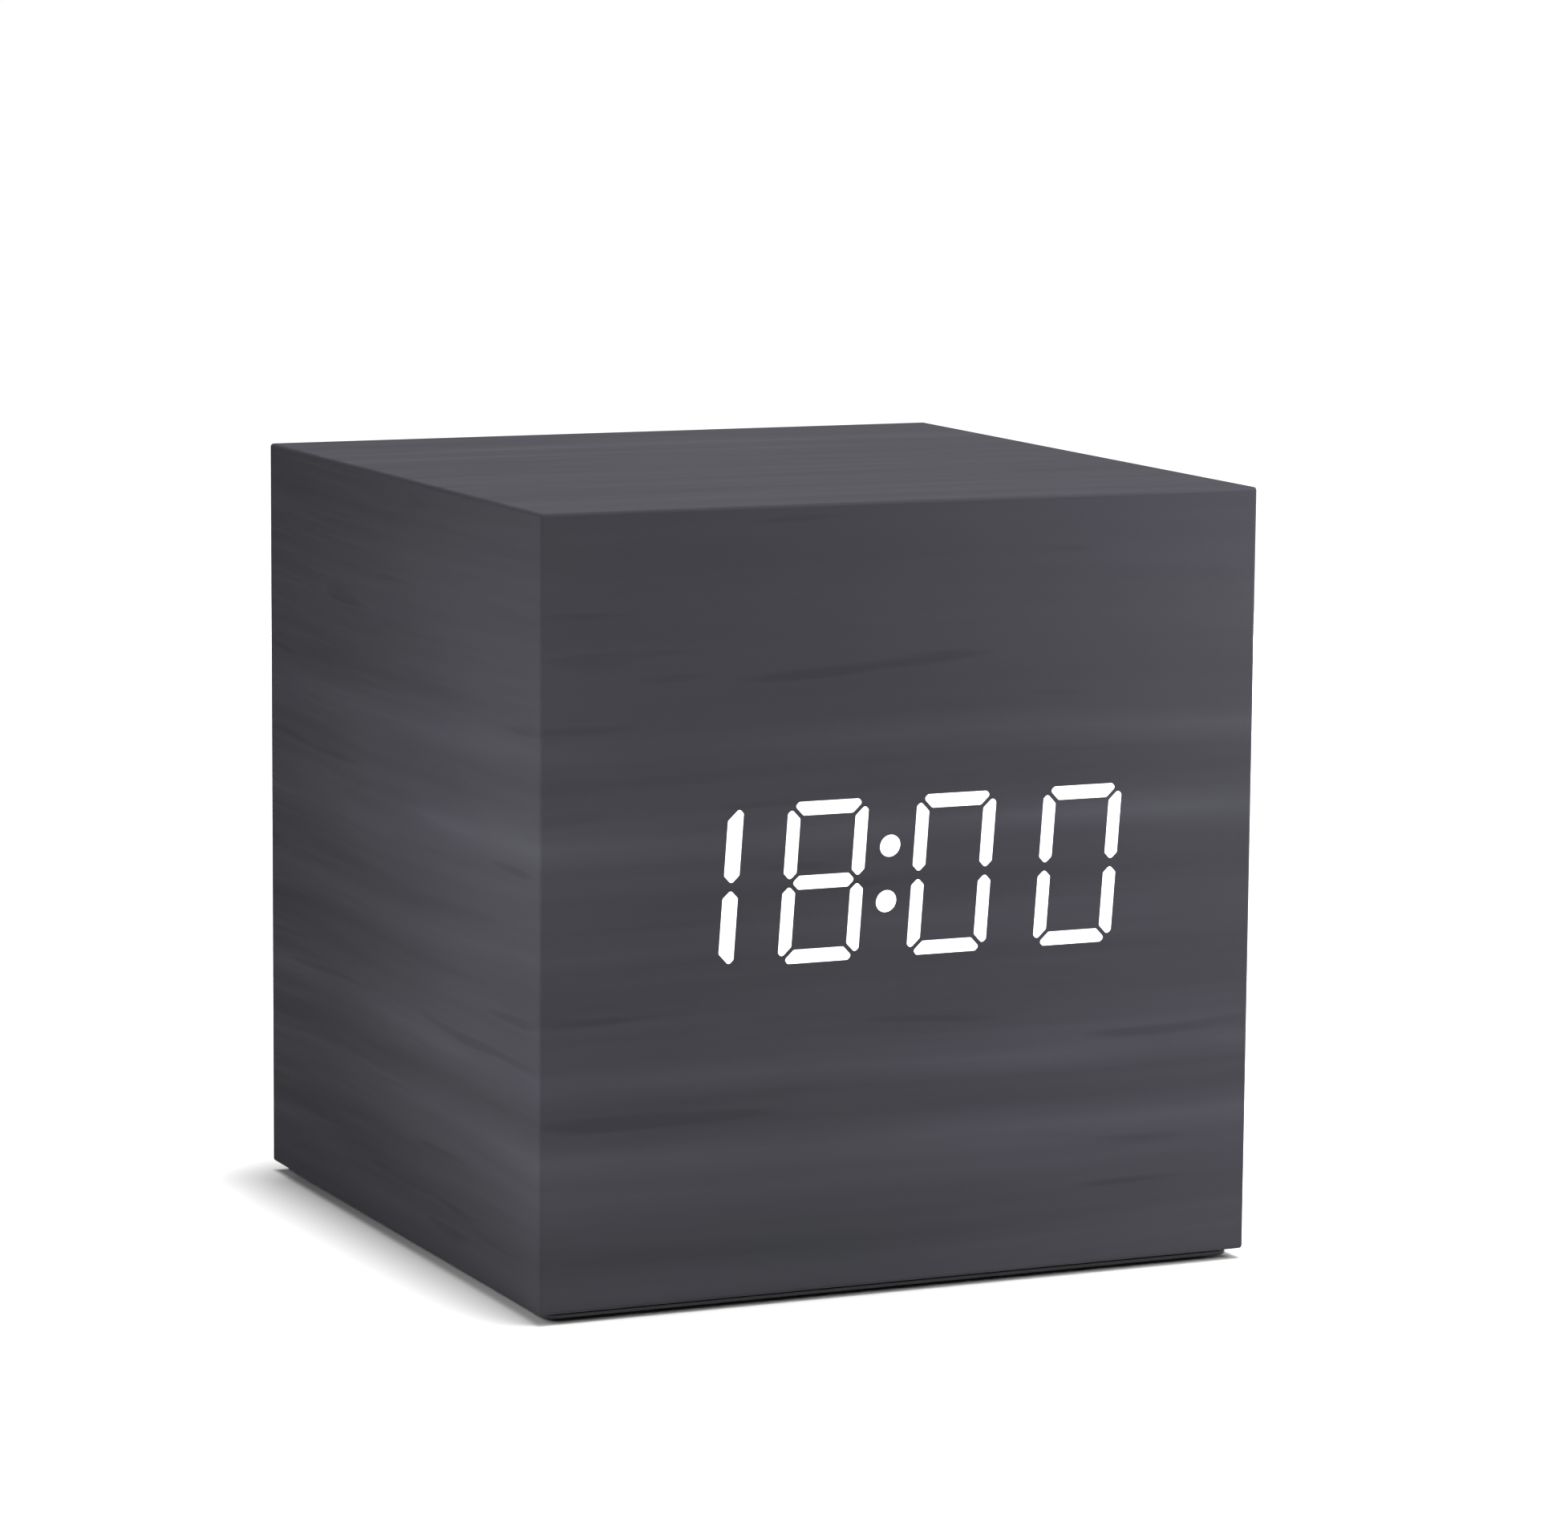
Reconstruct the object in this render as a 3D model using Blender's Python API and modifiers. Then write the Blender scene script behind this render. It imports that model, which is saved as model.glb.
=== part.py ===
# A wooden cube alarm clock with a lit four-digit display behind its front board.
# Five mitred boards make the case, a plastic base plate closes it and holds the cells.
# X runs right as seen from the front, Y runs to the back, Z runs up from the table.
# All sizes are in metres.

import math

import bmesh
import bpy
from mathutils import Matrix, Vector

# Gaps that several pieces share
CLEARANCE = 0.0003
GLUE_LINE = 0.0001
SOLDER_GAP = 0.0001
WELD_DISTANCE = 0.00001
OVERRUN = 0.001
ROUND_SIDES = 20
SMALL_SIDES = 12

# Case boards
CASE_WIDTH = 0.090
CASE_DEPTH = 0.090
WOOD_HEIGHT = 0.0908
BOARD_THICK = 0.006
EDGE_ROUND = 0.0004
EDGE_STEPS = 2

# Feet, base plate and the corner blocks that take its screws
FOOT_PROUD = 0.0004
FOOT_SINK = 0.0010
FOOT_DIAMETER = 0.008
FOOT_ROUND = 0.0002
FOOT_FROM_SIDE = 0.006
FOOT_FROM_FRONT = 0.016
FLANGE_THICK = 0.0005
FLANGE_INSET = 0.0012
FLANGE_CORNER = 0.0015
BASE_THICK = 0.0027
BLOCK_SIDE = 0.011
BLOCK_HEIGHT = 0.012
SLOT_COUNT = 4
SLOT_LENGTH = 0.014
SLOT_WIDTH = 0.0014
SLOT_PITCH = 0.003
RIB_THICK = 0.0012
RIB_HEIGHT = 0.003
RIB_SPREAD = 0.012

# Screws: head width, head thickness, shank width and length under the head
BASE_SCREW = {"head": 0.0046, "thick": 0.0013, "shank": 0.0020, "length": 0.009}
SMALL_SCREW = {"head": 0.0034, "thick": 0.0011, "shank": 0.0015, "length": 0.0055}
CROSS_WIDTH_SHARE = 0.16
CROSS_LENGTH_SHARE = 0.62
CROSS_TIP_SHARE = 0.7
CROSS_DEPTH_SHARE = 0.6
HEAD_ROUND_SHARE = 0.35

# Three cells side by side, each along X
CELL_COUNT = 3
CELL_DIAMETER = 0.0103
CELL_LENGTH = 0.0443
CELL_ROUND = 0.0005
CELL_GAP = 0.0008
NUB_DIAMETER = 0.0038
NUB_LENGTH = 0.0011
CONTACT_THICK = 0.0004
CONTACT_WIDTH = 0.0084
CONTACT_FLOOR = 0.0010
DIMPLE_DIAMETER = 0.0044
DIMPLE_HEIGHT = 0.0005
SPRING_LENGTH = 0.0052
SPRING_WIRE = 0.0007
SPRING_WIDE = 0.0074
SPRING_NARROW = 0.0040
SPRING_TURNS = 3
SPRING_POINTS = 10
SOLDER_TAB_WIDTH = 0.0022
SOLDER_TAB_RISE = 0.0022

# Battery bay and its door
TUB_WALL = 0.0016
TUB_ROOF = 0.0014
DIVIDER_THICK = 0.0008
DIVIDER_HEIGHT = 0.0018
DOOR_THICK = 0.0016
DOOR_LAP = 0.0020
DOOR_CORNER = 0.0012
TAB_REACH = 0.0013
TAB_WIDTH = 0.008
TAB_THICK = 0.0007
TAB_SPREAD = 0.020
LATCH_WIDTH = 0.010
LATCH_LENGTH = 0.008
LATCH_SLOT = 0.0008
FINGER_RADIUS = 0.005
FINGER_DEPTH = 0.0012
GRIP_COUNT = 4
GRIP_PITCH = 0.0014
GRIP_WIDTH = 0.0006
GRIP_DEPTH = 0.0004

# Display: the figures read 18:00 and lean to the right. They are spread over the room that
# the side boards leave, and their widths are shares of the pitch from figure to figure.
FIGURES = {"hours_tens": "1", "hours_units": "8", "minutes_tens": "0", "minutes_units": "0"}
DISPLAY_OFFSET = -0.00215
DISPLAY_HEIGHT = 0.0488
DISPLAY_SIDE_ROOM = 0.00165
DIGIT_WIDTH_SHARE = 0.525
STROKE_SHARE = 0.117
COLON_SHARE = 0.157
DIGIT_HEIGHT = 0.0170
FIRST_DIGIT_SHIFT = 0.00045
STROKE_GAP = 0.00045
STROKE_ROUND_SHARE = 0.17
TIP_SHIFT_SHARE = 0.4
LEAN = math.radians(4.0)
COLON_SPREAD = 0.0064
COLON_LIFT = 0.0004
SKIN_THICK = 0.001
LIT_FACE_DEPTH = 0.0001
GUIDE_GAP = 0.00015
REFLECTOR_DEPTH = 0.0065
REFLECTOR_RIM_X = 0.0015
REFLECTOR_RIM_Z = 0.0022
EAR_LENGTH = 0.0036
EAR_HEIGHT = 0.012
SHEET_THICK = 0.0008
SHEET_RECESS = 0.0025
SHEET_RIM = 0.00035
CIRCUIT_THICK = 0.0016
LED_LENGTH = 0.0016
LED_WIDTH = 0.0010
LED_HEIGHT = 0.0007

# Main board on the back board, with its controls in a pocket
MAIN_WIDTH = 0.060
MAIN_HEIGHT = 0.040
MAIN_CENTRE_HEIGHT = 0.042
SCREW_FROM_EDGE = 0.0026
POCKET_WIDTH = 0.048
POCKET_HEIGHT = 0.034
CONTROL_SKIN = 0.0021
BUTTON_PITCH = 0.015
BUTTON_RISE = 0.009
CAP_DIAMETER = 0.006
CAP_PROUD = 0.001
CAP_ROUND = 0.0004
CAP_DISH = 0.0002
CAP_TRAVEL = 0.0005
FLANGE_DIAMETER = 0.0076
CAP_FLANGE_THICK = 0.0008
PLUNGER_DIAMETER = 0.003
SWITCH_SIDE = 0.006
SWITCH_HEIGHT = 0.0021
SWITCH_BORE_DEPTH = 0.0012
LOWER_ROW_DROP = 0.009
LOWER_ROW_PITCH = 0.015
SLIDE_BODY_LENGTH = 0.0086
SLIDE_BODY_WIDTH = 0.0038
SLIDE_BODY_HEIGHT = 0.0030
SLIDE_SLOT_DEPTH = 0.0010
KNOB_LENGTH = 0.0024
KNOB_WIDTH = 0.0014
KNOB_PROUD = 0.0006
KNOB_ROUND = 0.0002
KNOB_TRAVEL = 0.002
JACK_WIDTH = 0.0074
JACK_HEIGHT = 0.0066
JACK_LENGTH = 0.0086
JACK_SNOUT = 0.0056
JACK_SINK = 0.0002
JACK_BORE = 0.0036
JACK_BORE_DEPTH = 0.0085
JACK_PIN = 0.0013
JACK_PIN_SET_BACK = 0.0012
MICROPHONE_DIAMETER = 0.006
MICROPHONE_HEIGHT = 0.0027
MICROPHONE_HOLE = 0.0016

# Parts soldered on the inner side of the main board: places are from the board's centre
CHIP_LENGTH = 0.018
CHIP_WIDTH = 0.0075
CHIP_HEIGHT = 0.0022
CHIP_PLACE = (0.006, -0.001)
CHIP_LEG_COUNT = 8
CHIP_LEG_WIDTH = 0.0006
CHIP_LEG_REACH = 0.0012
CHIP_LEG_THICK = 0.0005
CRYSTAL_LENGTH = 0.008
CRYSTAL_DIAMETER = 0.003
CRYSTAL_PLACE = (0.008, -0.012)
BUZZER_DIAMETER = 0.012
BUZZER_HEIGHT = 0.005
BUZZER_HOLE = 0.002
BUZZER_HOLE_DEPTH = 0.001
BUZZER_ROUND = 0.0005
BUZZER_PLACE = (-0.018, 0.007)
SOCKET_WIDTH = 0.015
SOCKET_TALL = 0.004
SOCKET_DEEP = 0.003
RIBBON_WIDTH = 0.012
RIBBON_THICK = 0.0009
RIBBON_SAG = 0.014
RIBBON_STEPS = 20
RIBBON_HEIGHT = 0.0565
LEAD_DIAMETER = 0.0013
LEAD_RISE = 0.016
LEAD_SPREAD = 0.023
LEAD_STEPS = 14
LEAD_ABOVE_EDGE = 0.004

# Levels and planes that follow from the sizes above
BASE_BOTTOM = FOOT_PROUD
FLANGE_TOP = BASE_BOTTOM + FLANGE_THICK
WOOD_BOTTOM = FLANGE_TOP + CLEARANCE
WOOD_TOP = WOOD_BOTTOM + WOOD_HEIGHT
BASE_TOP = BASE_BOTTOM + BASE_THICK
FRONT = -CASE_DEPTH / 2
BACK = CASE_DEPTH / 2
FRONT_INNER = FRONT + BOARD_THICK
BACK_INNER = BACK - BOARD_THICK
OPENING_X = CASE_WIDTH / 2 - BOARD_THICK
OPENING_Y = CASE_DEPTH / 2 - BOARD_THICK

DOOR_TOP = BASE_BOTTOM + DOOR_THICK
REBATE_TOP = DOOR_TOP + CLEARANCE
CELL_AXIS = DOOR_TOP + CLEARANCE + CELL_DIAMETER / 2
BAY_ROOF = CELL_AXIS + CELL_DIAMETER / 2 + CLEARANCE
TUB_TOP = BAY_ROOF + TUB_ROOF
CELL_PITCH = CELL_DIAMETER + CELL_GAP
CONTACT_FACE_GAP = SOLDER_GAP + CONTACT_THICK
BAY_HALF_LENGTH = (CELL_LENGTH + SPRING_LENGTH + DIMPLE_HEIGHT) / 2 + CLEARANCE + CONTACT_FACE_GAP
BAY_HALF_WIDTH = (CELL_COUNT - 1) / 2 * CELL_PITCH + CELL_DIAMETER / 2 + CLEARANCE
DOOR_HALF_LENGTH = BAY_HALF_LENGTH + DOOR_LAP
DOOR_HALF_WIDTH = BAY_HALF_WIDTH + DOOR_LAP
HINGE = Vector((-DOOR_HALF_LENGTH, 0, BASE_BOTTOM))
TAB_SWEEP = math.hypot(TAB_REACH, DOOR_THICK)
BLOCK_X = OPENING_X - GLUE_LINE - BLOCK_SIDE / 2
BLOCK_Y = OPENING_Y - GLUE_LINE - BLOCK_SIDE / 2
BLOCK_BOTTOM = BASE_TOP + CLEARANCE

SKIN_BACK = FRONT + SKIN_THICK
REFLECTOR_FRONT = SKIN_BACK + CLEARANCE
REFLECTOR_BACK = REFLECTOR_FRONT + REFLECTOR_DEPTH
LEAN_SLOPE = math.tan(LEAN)
MIDDLE_FIGURE = (len(FIGURES) - 1) / 2
DISPLAY_HALF_X = OPENING_X - abs(DISPLAY_OFFSET) - DISPLAY_SIDE_ROOM
REFLECTOR_HALF_X = DISPLAY_HALF_X - EAR_LENGTH
DIGIT_PITCH = ((REFLECTOR_HALF_X - REFLECTOR_RIM_X - DIGIT_HEIGHT * LEAN_SLOPE / 2)
               / (MIDDLE_FIGURE + (DIGIT_WIDTH_SHARE + STROKE_SHARE) / 2))
DIGIT_WIDTH = DIGIT_PITCH * DIGIT_WIDTH_SHARE
STROKE = DIGIT_PITCH * STROKE_SHARE
COLON_DIAMETER = DIGIT_PITCH * COLON_SHARE
REFLECTOR_HALF_Z = (DIGIT_HEIGHT + STROKE) / 2 + REFLECTOR_RIM_Z
SHEET_FRONT = REFLECTOR_BACK - SHEET_RECESS + CLEARANCE
DISPLAY_BOARD_FRONT = REFLECTOR_BACK + CLEARANCE
DISPLAY_BOARD_BACK = DISPLAY_BOARD_FRONT + CIRCUIT_THICK

CONTROL_BACK = BACK - CONTROL_SKIN
MAIN_BACK = BACK_INNER - CLEARANCE
MAIN_FRONT = MAIN_BACK - CIRCUIT_THICK
BUTTON_HEIGHT = MAIN_CENTRE_HEIGHT + BUTTON_RISE
LOWER_ROW_HEIGHT = MAIN_CENTRE_HEIGHT - LOWER_ROW_DROP
CAP_HOLE = CAP_DIAMETER + 2 * CLEARANCE
SLIDE_SLOT_LENGTH = KNOB_LENGTH + KNOB_TRAVEL + 2 * CLEARANCE
SLIDE_SLOT_WIDTH = KNOB_WIDTH + 2 * CLEARANCE
SLIDE_X = LOWER_ROW_PITCH
JACK_X = -LOWER_ROW_PITCH
JACK_BACK = CONTROL_BACK - CLEARANCE

# The seven strokes of a figure: middle of each as shares of the figure's half sizes,
# and whether it stands upright
STROKE_SHARES = {
    "top": (0, 1, False), "upper_right": (1, 0.5, True), "lower_right": (1, -0.5, True),
    "bottom": (0, -1, False), "lower_left": (-1, -0.5, True), "upper_left": (-1, 0.5, True),
    "middle": (0, 0, False),
}
LIT_STROKES = {
    "0": {"top", "upper_right", "lower_right", "bottom", "lower_left", "upper_left"},
    "1": {"upper_right", "lower_right"},
    "8": set(STROKE_SHARES),
}

# Colour, roughness and metallic value of each kind of material
FINISHES = {
    "wood": ((0.060, 0.058, 0.068), 0.55, 0.0),
    "raw_wood": ((0.45, 0.33, 0.22), 0.8, 0.0),
    "black_plastic": ((0.010, 0.010, 0.012), 0.5, 0.0),
    "rubber": ((0.015, 0.015, 0.015), 0.9, 0.0),
    "lit_white": ((0.95, 0.96, 1.0), 0.4, 0.0),
    "circuit": ((0.02, 0.14, 0.06), 0.45, 0.0),
    "steel": ((0.55, 0.55, 0.56), 0.35, 1.0),
    "nickel": ((0.70, 0.68, 0.62), 0.3, 1.0),
    "cell_jacket": ((0.10, 0.11, 0.13), 0.4, 0.3),
    "red_wire": ((0.55, 0.02, 0.02), 0.5, 0.0),
    "black_wire": ((0.012, 0.012, 0.012), 0.5, 0.0),
    "grey_ribbon": ((0.42, 0.42, 0.44), 0.55, 0.0),
}

# Turns of a piece made along Z
TO_FRONT = Matrix.Rotation(math.radians(90), 4, "X")
TO_BACK = Matrix.Rotation(math.radians(-90), 4, "X")
TO_RIGHT = Matrix.Rotation(math.radians(90), 4, "Y")
TO_LEFT = Matrix.Rotation(math.radians(-90), 4, "Y")
DOWNWARD = Matrix.Rotation(math.radians(180), 4, "X")


def clear_scene():
    for thing in list(bpy.data.objects):
        bpy.data.objects.remove(thing, do_unlink=True)


def new_collection(name):
    collection = bpy.data.collections.new(name)
    bpy.context.scene.collection.children.link(collection)
    return collection


def finish_for(name, kind):
    colour, roughness, metallic = FINISHES[kind]
    material = bpy.data.materials.new(name + "_finish")
    material.use_nodes = True
    shader = material.node_tree.nodes["Principled BSDF"]
    shader.inputs["Base Color"].default_value = (*colour, 1)
    shader.inputs["Roughness"].default_value = roughness
    shader.inputs["Metallic"].default_value = metallic
    material.diffuse_color = (*colour, 1)
    return material


def add_part(name, mesh, kind, place=None):
    """A named piece of the clock; place moves a mesh that was made about the origin."""
    part = bpy.data.objects.new(name, mesh)
    mesh.name = name
    mesh.materials.clear()
    mesh.materials.append(finish_for(name, kind))
    if place is not None:
        part.matrix_world = place
    parts_collection.objects.link(part)
    return part


def mesh_from(bm, name="shape"):
    mesh = bpy.data.meshes.new(name)
    bm.to_mesh(mesh)
    bm.free()
    return mesh


def box(low, high):
    low, high = Vector(low), Vector(high)
    bm = bmesh.new()
    size = Matrix.Diagonal((*(high - low), 1))
    bmesh.ops.create_cube(bm, size=1, matrix=Matrix.Translation((low + high) / 2) @ size)
    return mesh_from(bm)


def rod(diameter, start, end, sides=ROUND_SIDES):
    """A cylinder from one point to another."""
    start, end = Vector(start), Vector(end)
    turn = Vector((0, 0, 1)).rotation_difference(end - start).to_matrix().to_4x4()
    bm = bmesh.new()
    bmesh.ops.create_cone(bm, cap_ends=True, segments=sides, radius1=diameter / 2,
                          radius2=diameter / 2, depth=(end - start).length,
                          matrix=Matrix.Translation((start + end) / 2) @ turn)
    return mesh_from(bm)


def joined(meshes):
    """One mesh of several shapes that don't touch, for a cutter."""
    bm = bmesh.new()
    for mesh in meshes:
        bm.from_mesh(mesh)
        bpy.data.meshes.remove(mesh)
    return mesh_from(bm)


def mesh_of_curve(curve, place):
    """The closed mesh of a curve with its caps welded on."""
    holder = bpy.data.objects.new("outline", curve)
    cutters_collection.objects.link(holder)
    bpy.context.view_layer.update()
    evaluated = holder.evaluated_get(bpy.context.evaluated_depsgraph_get())
    mesh = bpy.data.meshes.new_from_object(evaluated)
    bpy.data.objects.remove(holder, do_unlink=True)
    bm = bmesh.new()
    bm.from_mesh(mesh)
    bpy.data.meshes.remove(mesh)
    bmesh.ops.remove_doubles(bm, verts=bm.verts, dist=WELD_DISTANCE)
    bmesh.ops.recalc_face_normals(bm, faces=bm.faces)
    bmesh.ops.transform(bm, matrix=place, verts=bm.verts)
    return mesh_from(bm)


def plate(outline, low, high, turn=None):
    """A flat outline made thick along Z from low to high, or along -Y where turned to the front."""
    curve = bpy.data.curves.new("outline", "CURVE")
    curve.dimensions = "2D"
    curve.fill_mode = "BOTH"
    curve.extrude = (high - low) / 2
    spline = curve.splines.new("POLY")
    spline.points.add(len(outline) - 1)
    for point, (x, y) in zip(spline.points, outline):
        point.co = (x, y, 0, 1)
    spline.use_cyclic_u = True
    place = Matrix.Translation((0, 0, (low + high) / 2))
    if turn is not None:
        place = turn @ place
    return mesh_of_curve(curve, place)


def front_plate(outline, front, back):
    """A plate whose outline is drawn in X and Z, from the plane y = front to y = back."""
    return plate(outline, -back, -front, TO_FRONT)


def rounded_rectangle(half_x, half_y, radius, steps=4):
    points = []
    for quarter, (sign_x, sign_y) in enumerate(((1, 1), (-1, 1), (-1, -1), (1, -1))):
        for step in range(steps + 1):
            angle = math.radians(90) * (quarter + step / steps)
            points.append((sign_x * (half_x - radius) + radius * math.cos(angle),
                           sign_y * (half_y - radius) + radius * math.sin(angle)))
    return points


def tool(name, mesh):
    cutter = bpy.data.objects.new(name, mesh)
    cutters_collection.objects.link(cutter)
    cutter.hide_render = True
    cutter.display_type = "WIRE"
    return cutter


def combine(part, name, mesh, operation):
    modifier = part.modifiers.new(name, "BOOLEAN")
    modifier.operation = operation
    modifier.solver = "EXACT"
    modifier.object = tool(part.name + "_" + name, mesh)


def cut(part, name, mesh):
    combine(part, name, mesh, "DIFFERENCE")


def fuse(part, name, mesh):
    combine(part, name, mesh, "UNION")


def soften(part, width, steps=1):
    bevel = part.modifiers.new("rounded_edges", "BEVEL")
    bevel.width = width
    bevel.segments = steps
    bevel.limit_method = "ANGLE"


def turned(name, profile, kind, place, sides=ROUND_SIDES):
    """A turned piece: the profile of (radius, height) runs down its outer side."""
    mesh = bpy.data.meshes.new(name)
    edges = [(index, index + 1) for index in range(len(profile) - 1)]
    mesh.from_pydata([(radius, 0, height) for radius, height in profile], edges, [])
    part = add_part(name, mesh, kind, place)
    screw = part.modifiers.new("turn", "SCREW")
    screw.steps = sides
    screw.render_steps = sides
    screw.use_merge_vertices = True
    screw.merge_threshold = WELD_DISTANCE
    screw.use_smooth_shade = False
    return part


def cross_outline(half_length, half_width):
    """A driver cross whose four arms narrow towards their tips."""
    tip = half_width * CROSS_TIP_SHARE
    corner = [(half_length, tip), (half_width, half_width), (tip, half_length)]
    points = []
    for quarter in range(4):
        turn = Matrix.Rotation(math.radians(90) * quarter, 2)
        points += [tuple(turn @ Vector(point)) for point in corner]
    return points


def screw_piece(name, sizes, place):
    """A round-headed screw with a cross slot: the head's top is at z = 0 and points up."""
    head, shank = sizes["head"] / 2, sizes["shank"] / 2
    thick, length = sizes["thick"], sizes["length"]
    fillet = thick * HEAD_ROUND_SHARE
    profile = [(0, 0), (head - fillet, 0), (head, -fillet), (head, -thick), (shank, -thick),
               (shank, -thick - length + shank), (0, -thick - length)]
    part = turned(name, profile, "steel", place, SMALL_SIDES)
    cross = cross_outline(head * CROSS_LENGTH_SHARE, head * CROSS_WIDTH_SHARE)
    slot = plate(cross, -thick * CROSS_DEPTH_SHARE, OVERRUN)
    slot.transform(place)
    cut(part, "cross_slot", slot)
    return part


def screw_pilot(sizes, place, depth):
    """The hole that a screw's shank fits in, under a head seated at the place given."""
    hole = rod(sizes["shank"] + 2 * CLEARANCE, (0, 0, OVERRUN), (0, 0, -depth), SMALL_SIDES)
    hole.transform(place)
    return hole


def corners(x, y):
    """The four corners of a rectangle, each with a name."""
    names = {(-1, -1): "front_left", (1, -1): "front_right",
             (-1, 1): "back_left", (1, 1): "back_right"}
    return [(name, x * sign_x, y * sign_y) for (sign_x, sign_y), name in names.items()]


# Figures

def leaned(x, z):
    return (x + z * LEAN_SLOPE, z)


def figure_centre(index):
    shift = FIRST_DIGIT_SHIFT if index == 0 else 0
    return DISPLAY_OFFSET + (index - MIDDLE_FIGURE) * DIGIT_PITCH + shift


def soften_corners(sharp):
    """Each corner of an outline gives way to two points a little before and after it."""
    soft = []
    for index, corner in enumerate(sharp):
        corner = Vector(corner)
        for other in (Vector(sharp[index - 1]), Vector(sharp[(index + 1) % len(sharp)])):
            step = min(STROKE * STROKE_ROUND_SHARE, (other - corner).length / 2)
            soft.append(corner + (other - corner).normalized() * step)
    return soft


def stroke_end(half_long, half_wide, outside, at_corner):
    """Three points round a stroke's end; at a figure's corner the tip moves to the outer side."""
    shift = outside * half_wide * TIP_SHIFT_SHARE if at_corner else 0
    reach = half_long + abs(shift)
    return [(reach - abs(half_wide + shift), -half_wide), (reach, shift),
            (reach - abs(half_wide - shift), half_wide)]


def stroke_outline(centre_x, stroke, grow, softened=True):
    """A six-sided stroke, made larger all round by grow, with its corners softened or sharp."""
    share_x, share_z, upright = STROKE_SHARES[stroke]
    span = DIGIT_HEIGHT / 2 if upright else DIGIT_WIDTH
    half_long = span / 2 - STROKE_GAP + grow * math.sqrt(2)
    half_wide = STROKE / 2 + grow
    outside = -share_x if upright else share_z
    far = stroke_end(half_long, half_wide, outside, not upright or share_z > 0)
    near = stroke_end(half_long, half_wide, outside, not upright or share_z < 0)
    sharp = far + [(-along, across) for along, across in reversed(near)]
    points = []
    for along, across in soften_corners(sharp) if softened else sharp:
        x, z = (-across, along) if upright else (along, across)
        x, z = leaned(x + share_x * DIGIT_WIDTH / 2, z + share_z * DIGIT_HEIGHT / 2)
        points.append((centre_x + x, DISPLAY_HEIGHT + z))
    return points


def colon_outline(sign, grow, sides=ROUND_SIDES):
    radius = COLON_DIAMETER / 2 + grow
    x, z = leaned(0, sign * COLON_SPREAD / 2)
    turn = math.tau / sides
    return [(DISPLAY_OFFSET + x + radius * math.cos(turn * step),
             DISPLAY_HEIGHT + COLON_LIFT + z + radius * math.sin(turn * step))
            for step in range(sides)]


def lit_windows(front, back, grow):
    shapes = [front_plate(colon_outline(sign, grow), front, back) for sign in (-1, 1)]
    for index, figure in enumerate(FIGURES.values()):
        shapes += [front_plate(stroke_outline(figure_centre(index), stroke, grow), front, back)
                   for stroke in STROKE_SHARES if stroke in LIT_STROKES[figure]]
    return shapes


def sheet_outline(centre_x, half_x, half_z, grow):
    """The leaning sheet behind a figure."""
    return [(centre_x + x, DISPLAY_HEIGHT + z) for x, z in
            (leaned(sign_x * (half_x + grow), sign_z * (half_z + grow))
             for sign_x, sign_z in ((1, 1), (-1, 1), (-1, -1), (1, -1)))]


def sheets():
    """Name, middle and half sizes of each light guide's sheet, from left to right."""
    half_x = (DIGIT_WIDTH + STROKE) / 2 + SHEET_RIM
    half_z = (DIGIT_HEIGHT + STROKE) / 2 + SHEET_RIM
    found = [(name, figure_centre(index), half_x, half_z)
             for index, name in enumerate(FIGURES)]
    colon_half_z = COLON_SPREAD / 2 + COLON_LIFT + COLON_DIAMETER / 2 + SHEET_RIM
    found.append(("colon", DISPLAY_OFFSET, COLON_DIAMETER / 2 + SHEET_RIM, colon_half_z))
    return found


# Case

def case_block():
    """The whole case as one block, from which each board is cut."""
    return box((-CASE_WIDTH / 2, FRONT, WOOD_BOTTOM), (CASE_WIDTH / 2, BACK, WOOD_TOP))


def side_wedge(half_width, face):
    """The space of an upright board whose outer face is at y = -face, mitred on three edges."""
    mitre = GLUE_LINE / math.sqrt(2)
    mesh = box((-1, -1, 0), (1, 1, 1))
    for vertex in mesh.vertices:
        outer = vertex.co.y < 0
        depth = -OVERRUN if outer else BOARD_THICK
        half = half_width - depth - mitre
        top = WOOD_TOP - depth - mitre
        z = top if vertex.co.z > 0 else WOOD_BOTTOM - OVERRUN
        vertex.co = (math.copysign(half, vertex.co.x), depth - face, z)
    return mesh


def top_wedge():
    """The space of the top board, mitred on four edges."""
    mitre = GLUE_LINE / math.sqrt(2)
    mesh = box((-1, -1, 0), (1, 1, 1))
    for vertex in mesh.vertices:
        outer = vertex.co.z > 0
        depth = -OVERRUN if outer else BOARD_THICK
        vertex.co = (math.copysign(CASE_WIDTH / 2 - depth - mitre, vertex.co.x),
                     math.copysign(CASE_DEPTH / 2 - depth - mitre, vertex.co.y),
                     WOOD_TOP - depth)
    return mesh


def board(name, wedge):
    part = add_part(name, case_block(), "wood")
    soften(part, EDGE_ROUND, EDGE_STEPS)
    combine(part, "mitres", wedge, "INTERSECT")
    return part


def build_case():
    half_x, half_y = CASE_WIDTH / 2, CASE_DEPTH / 2
    front = board("front_board", side_wedge(half_x, half_y))
    cut_display_pocket(front)
    quarter = math.radians(90)
    wedges = {"right_board": (side_wedge(half_y, half_x), quarter),
              "back_board": (side_wedge(half_x, half_y), 2 * quarter),
              "left_board": (side_wedge(half_y, half_x), 3 * quarter)}
    for name, (wedge, angle) in wedges.items():
        wedge.transform(Matrix.Rotation(angle, 4, "Z"))
        part = board(name, wedge)
        if name == "back_board":
            cut_control_pocket(part)
    board("top_board", top_wedge())


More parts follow.
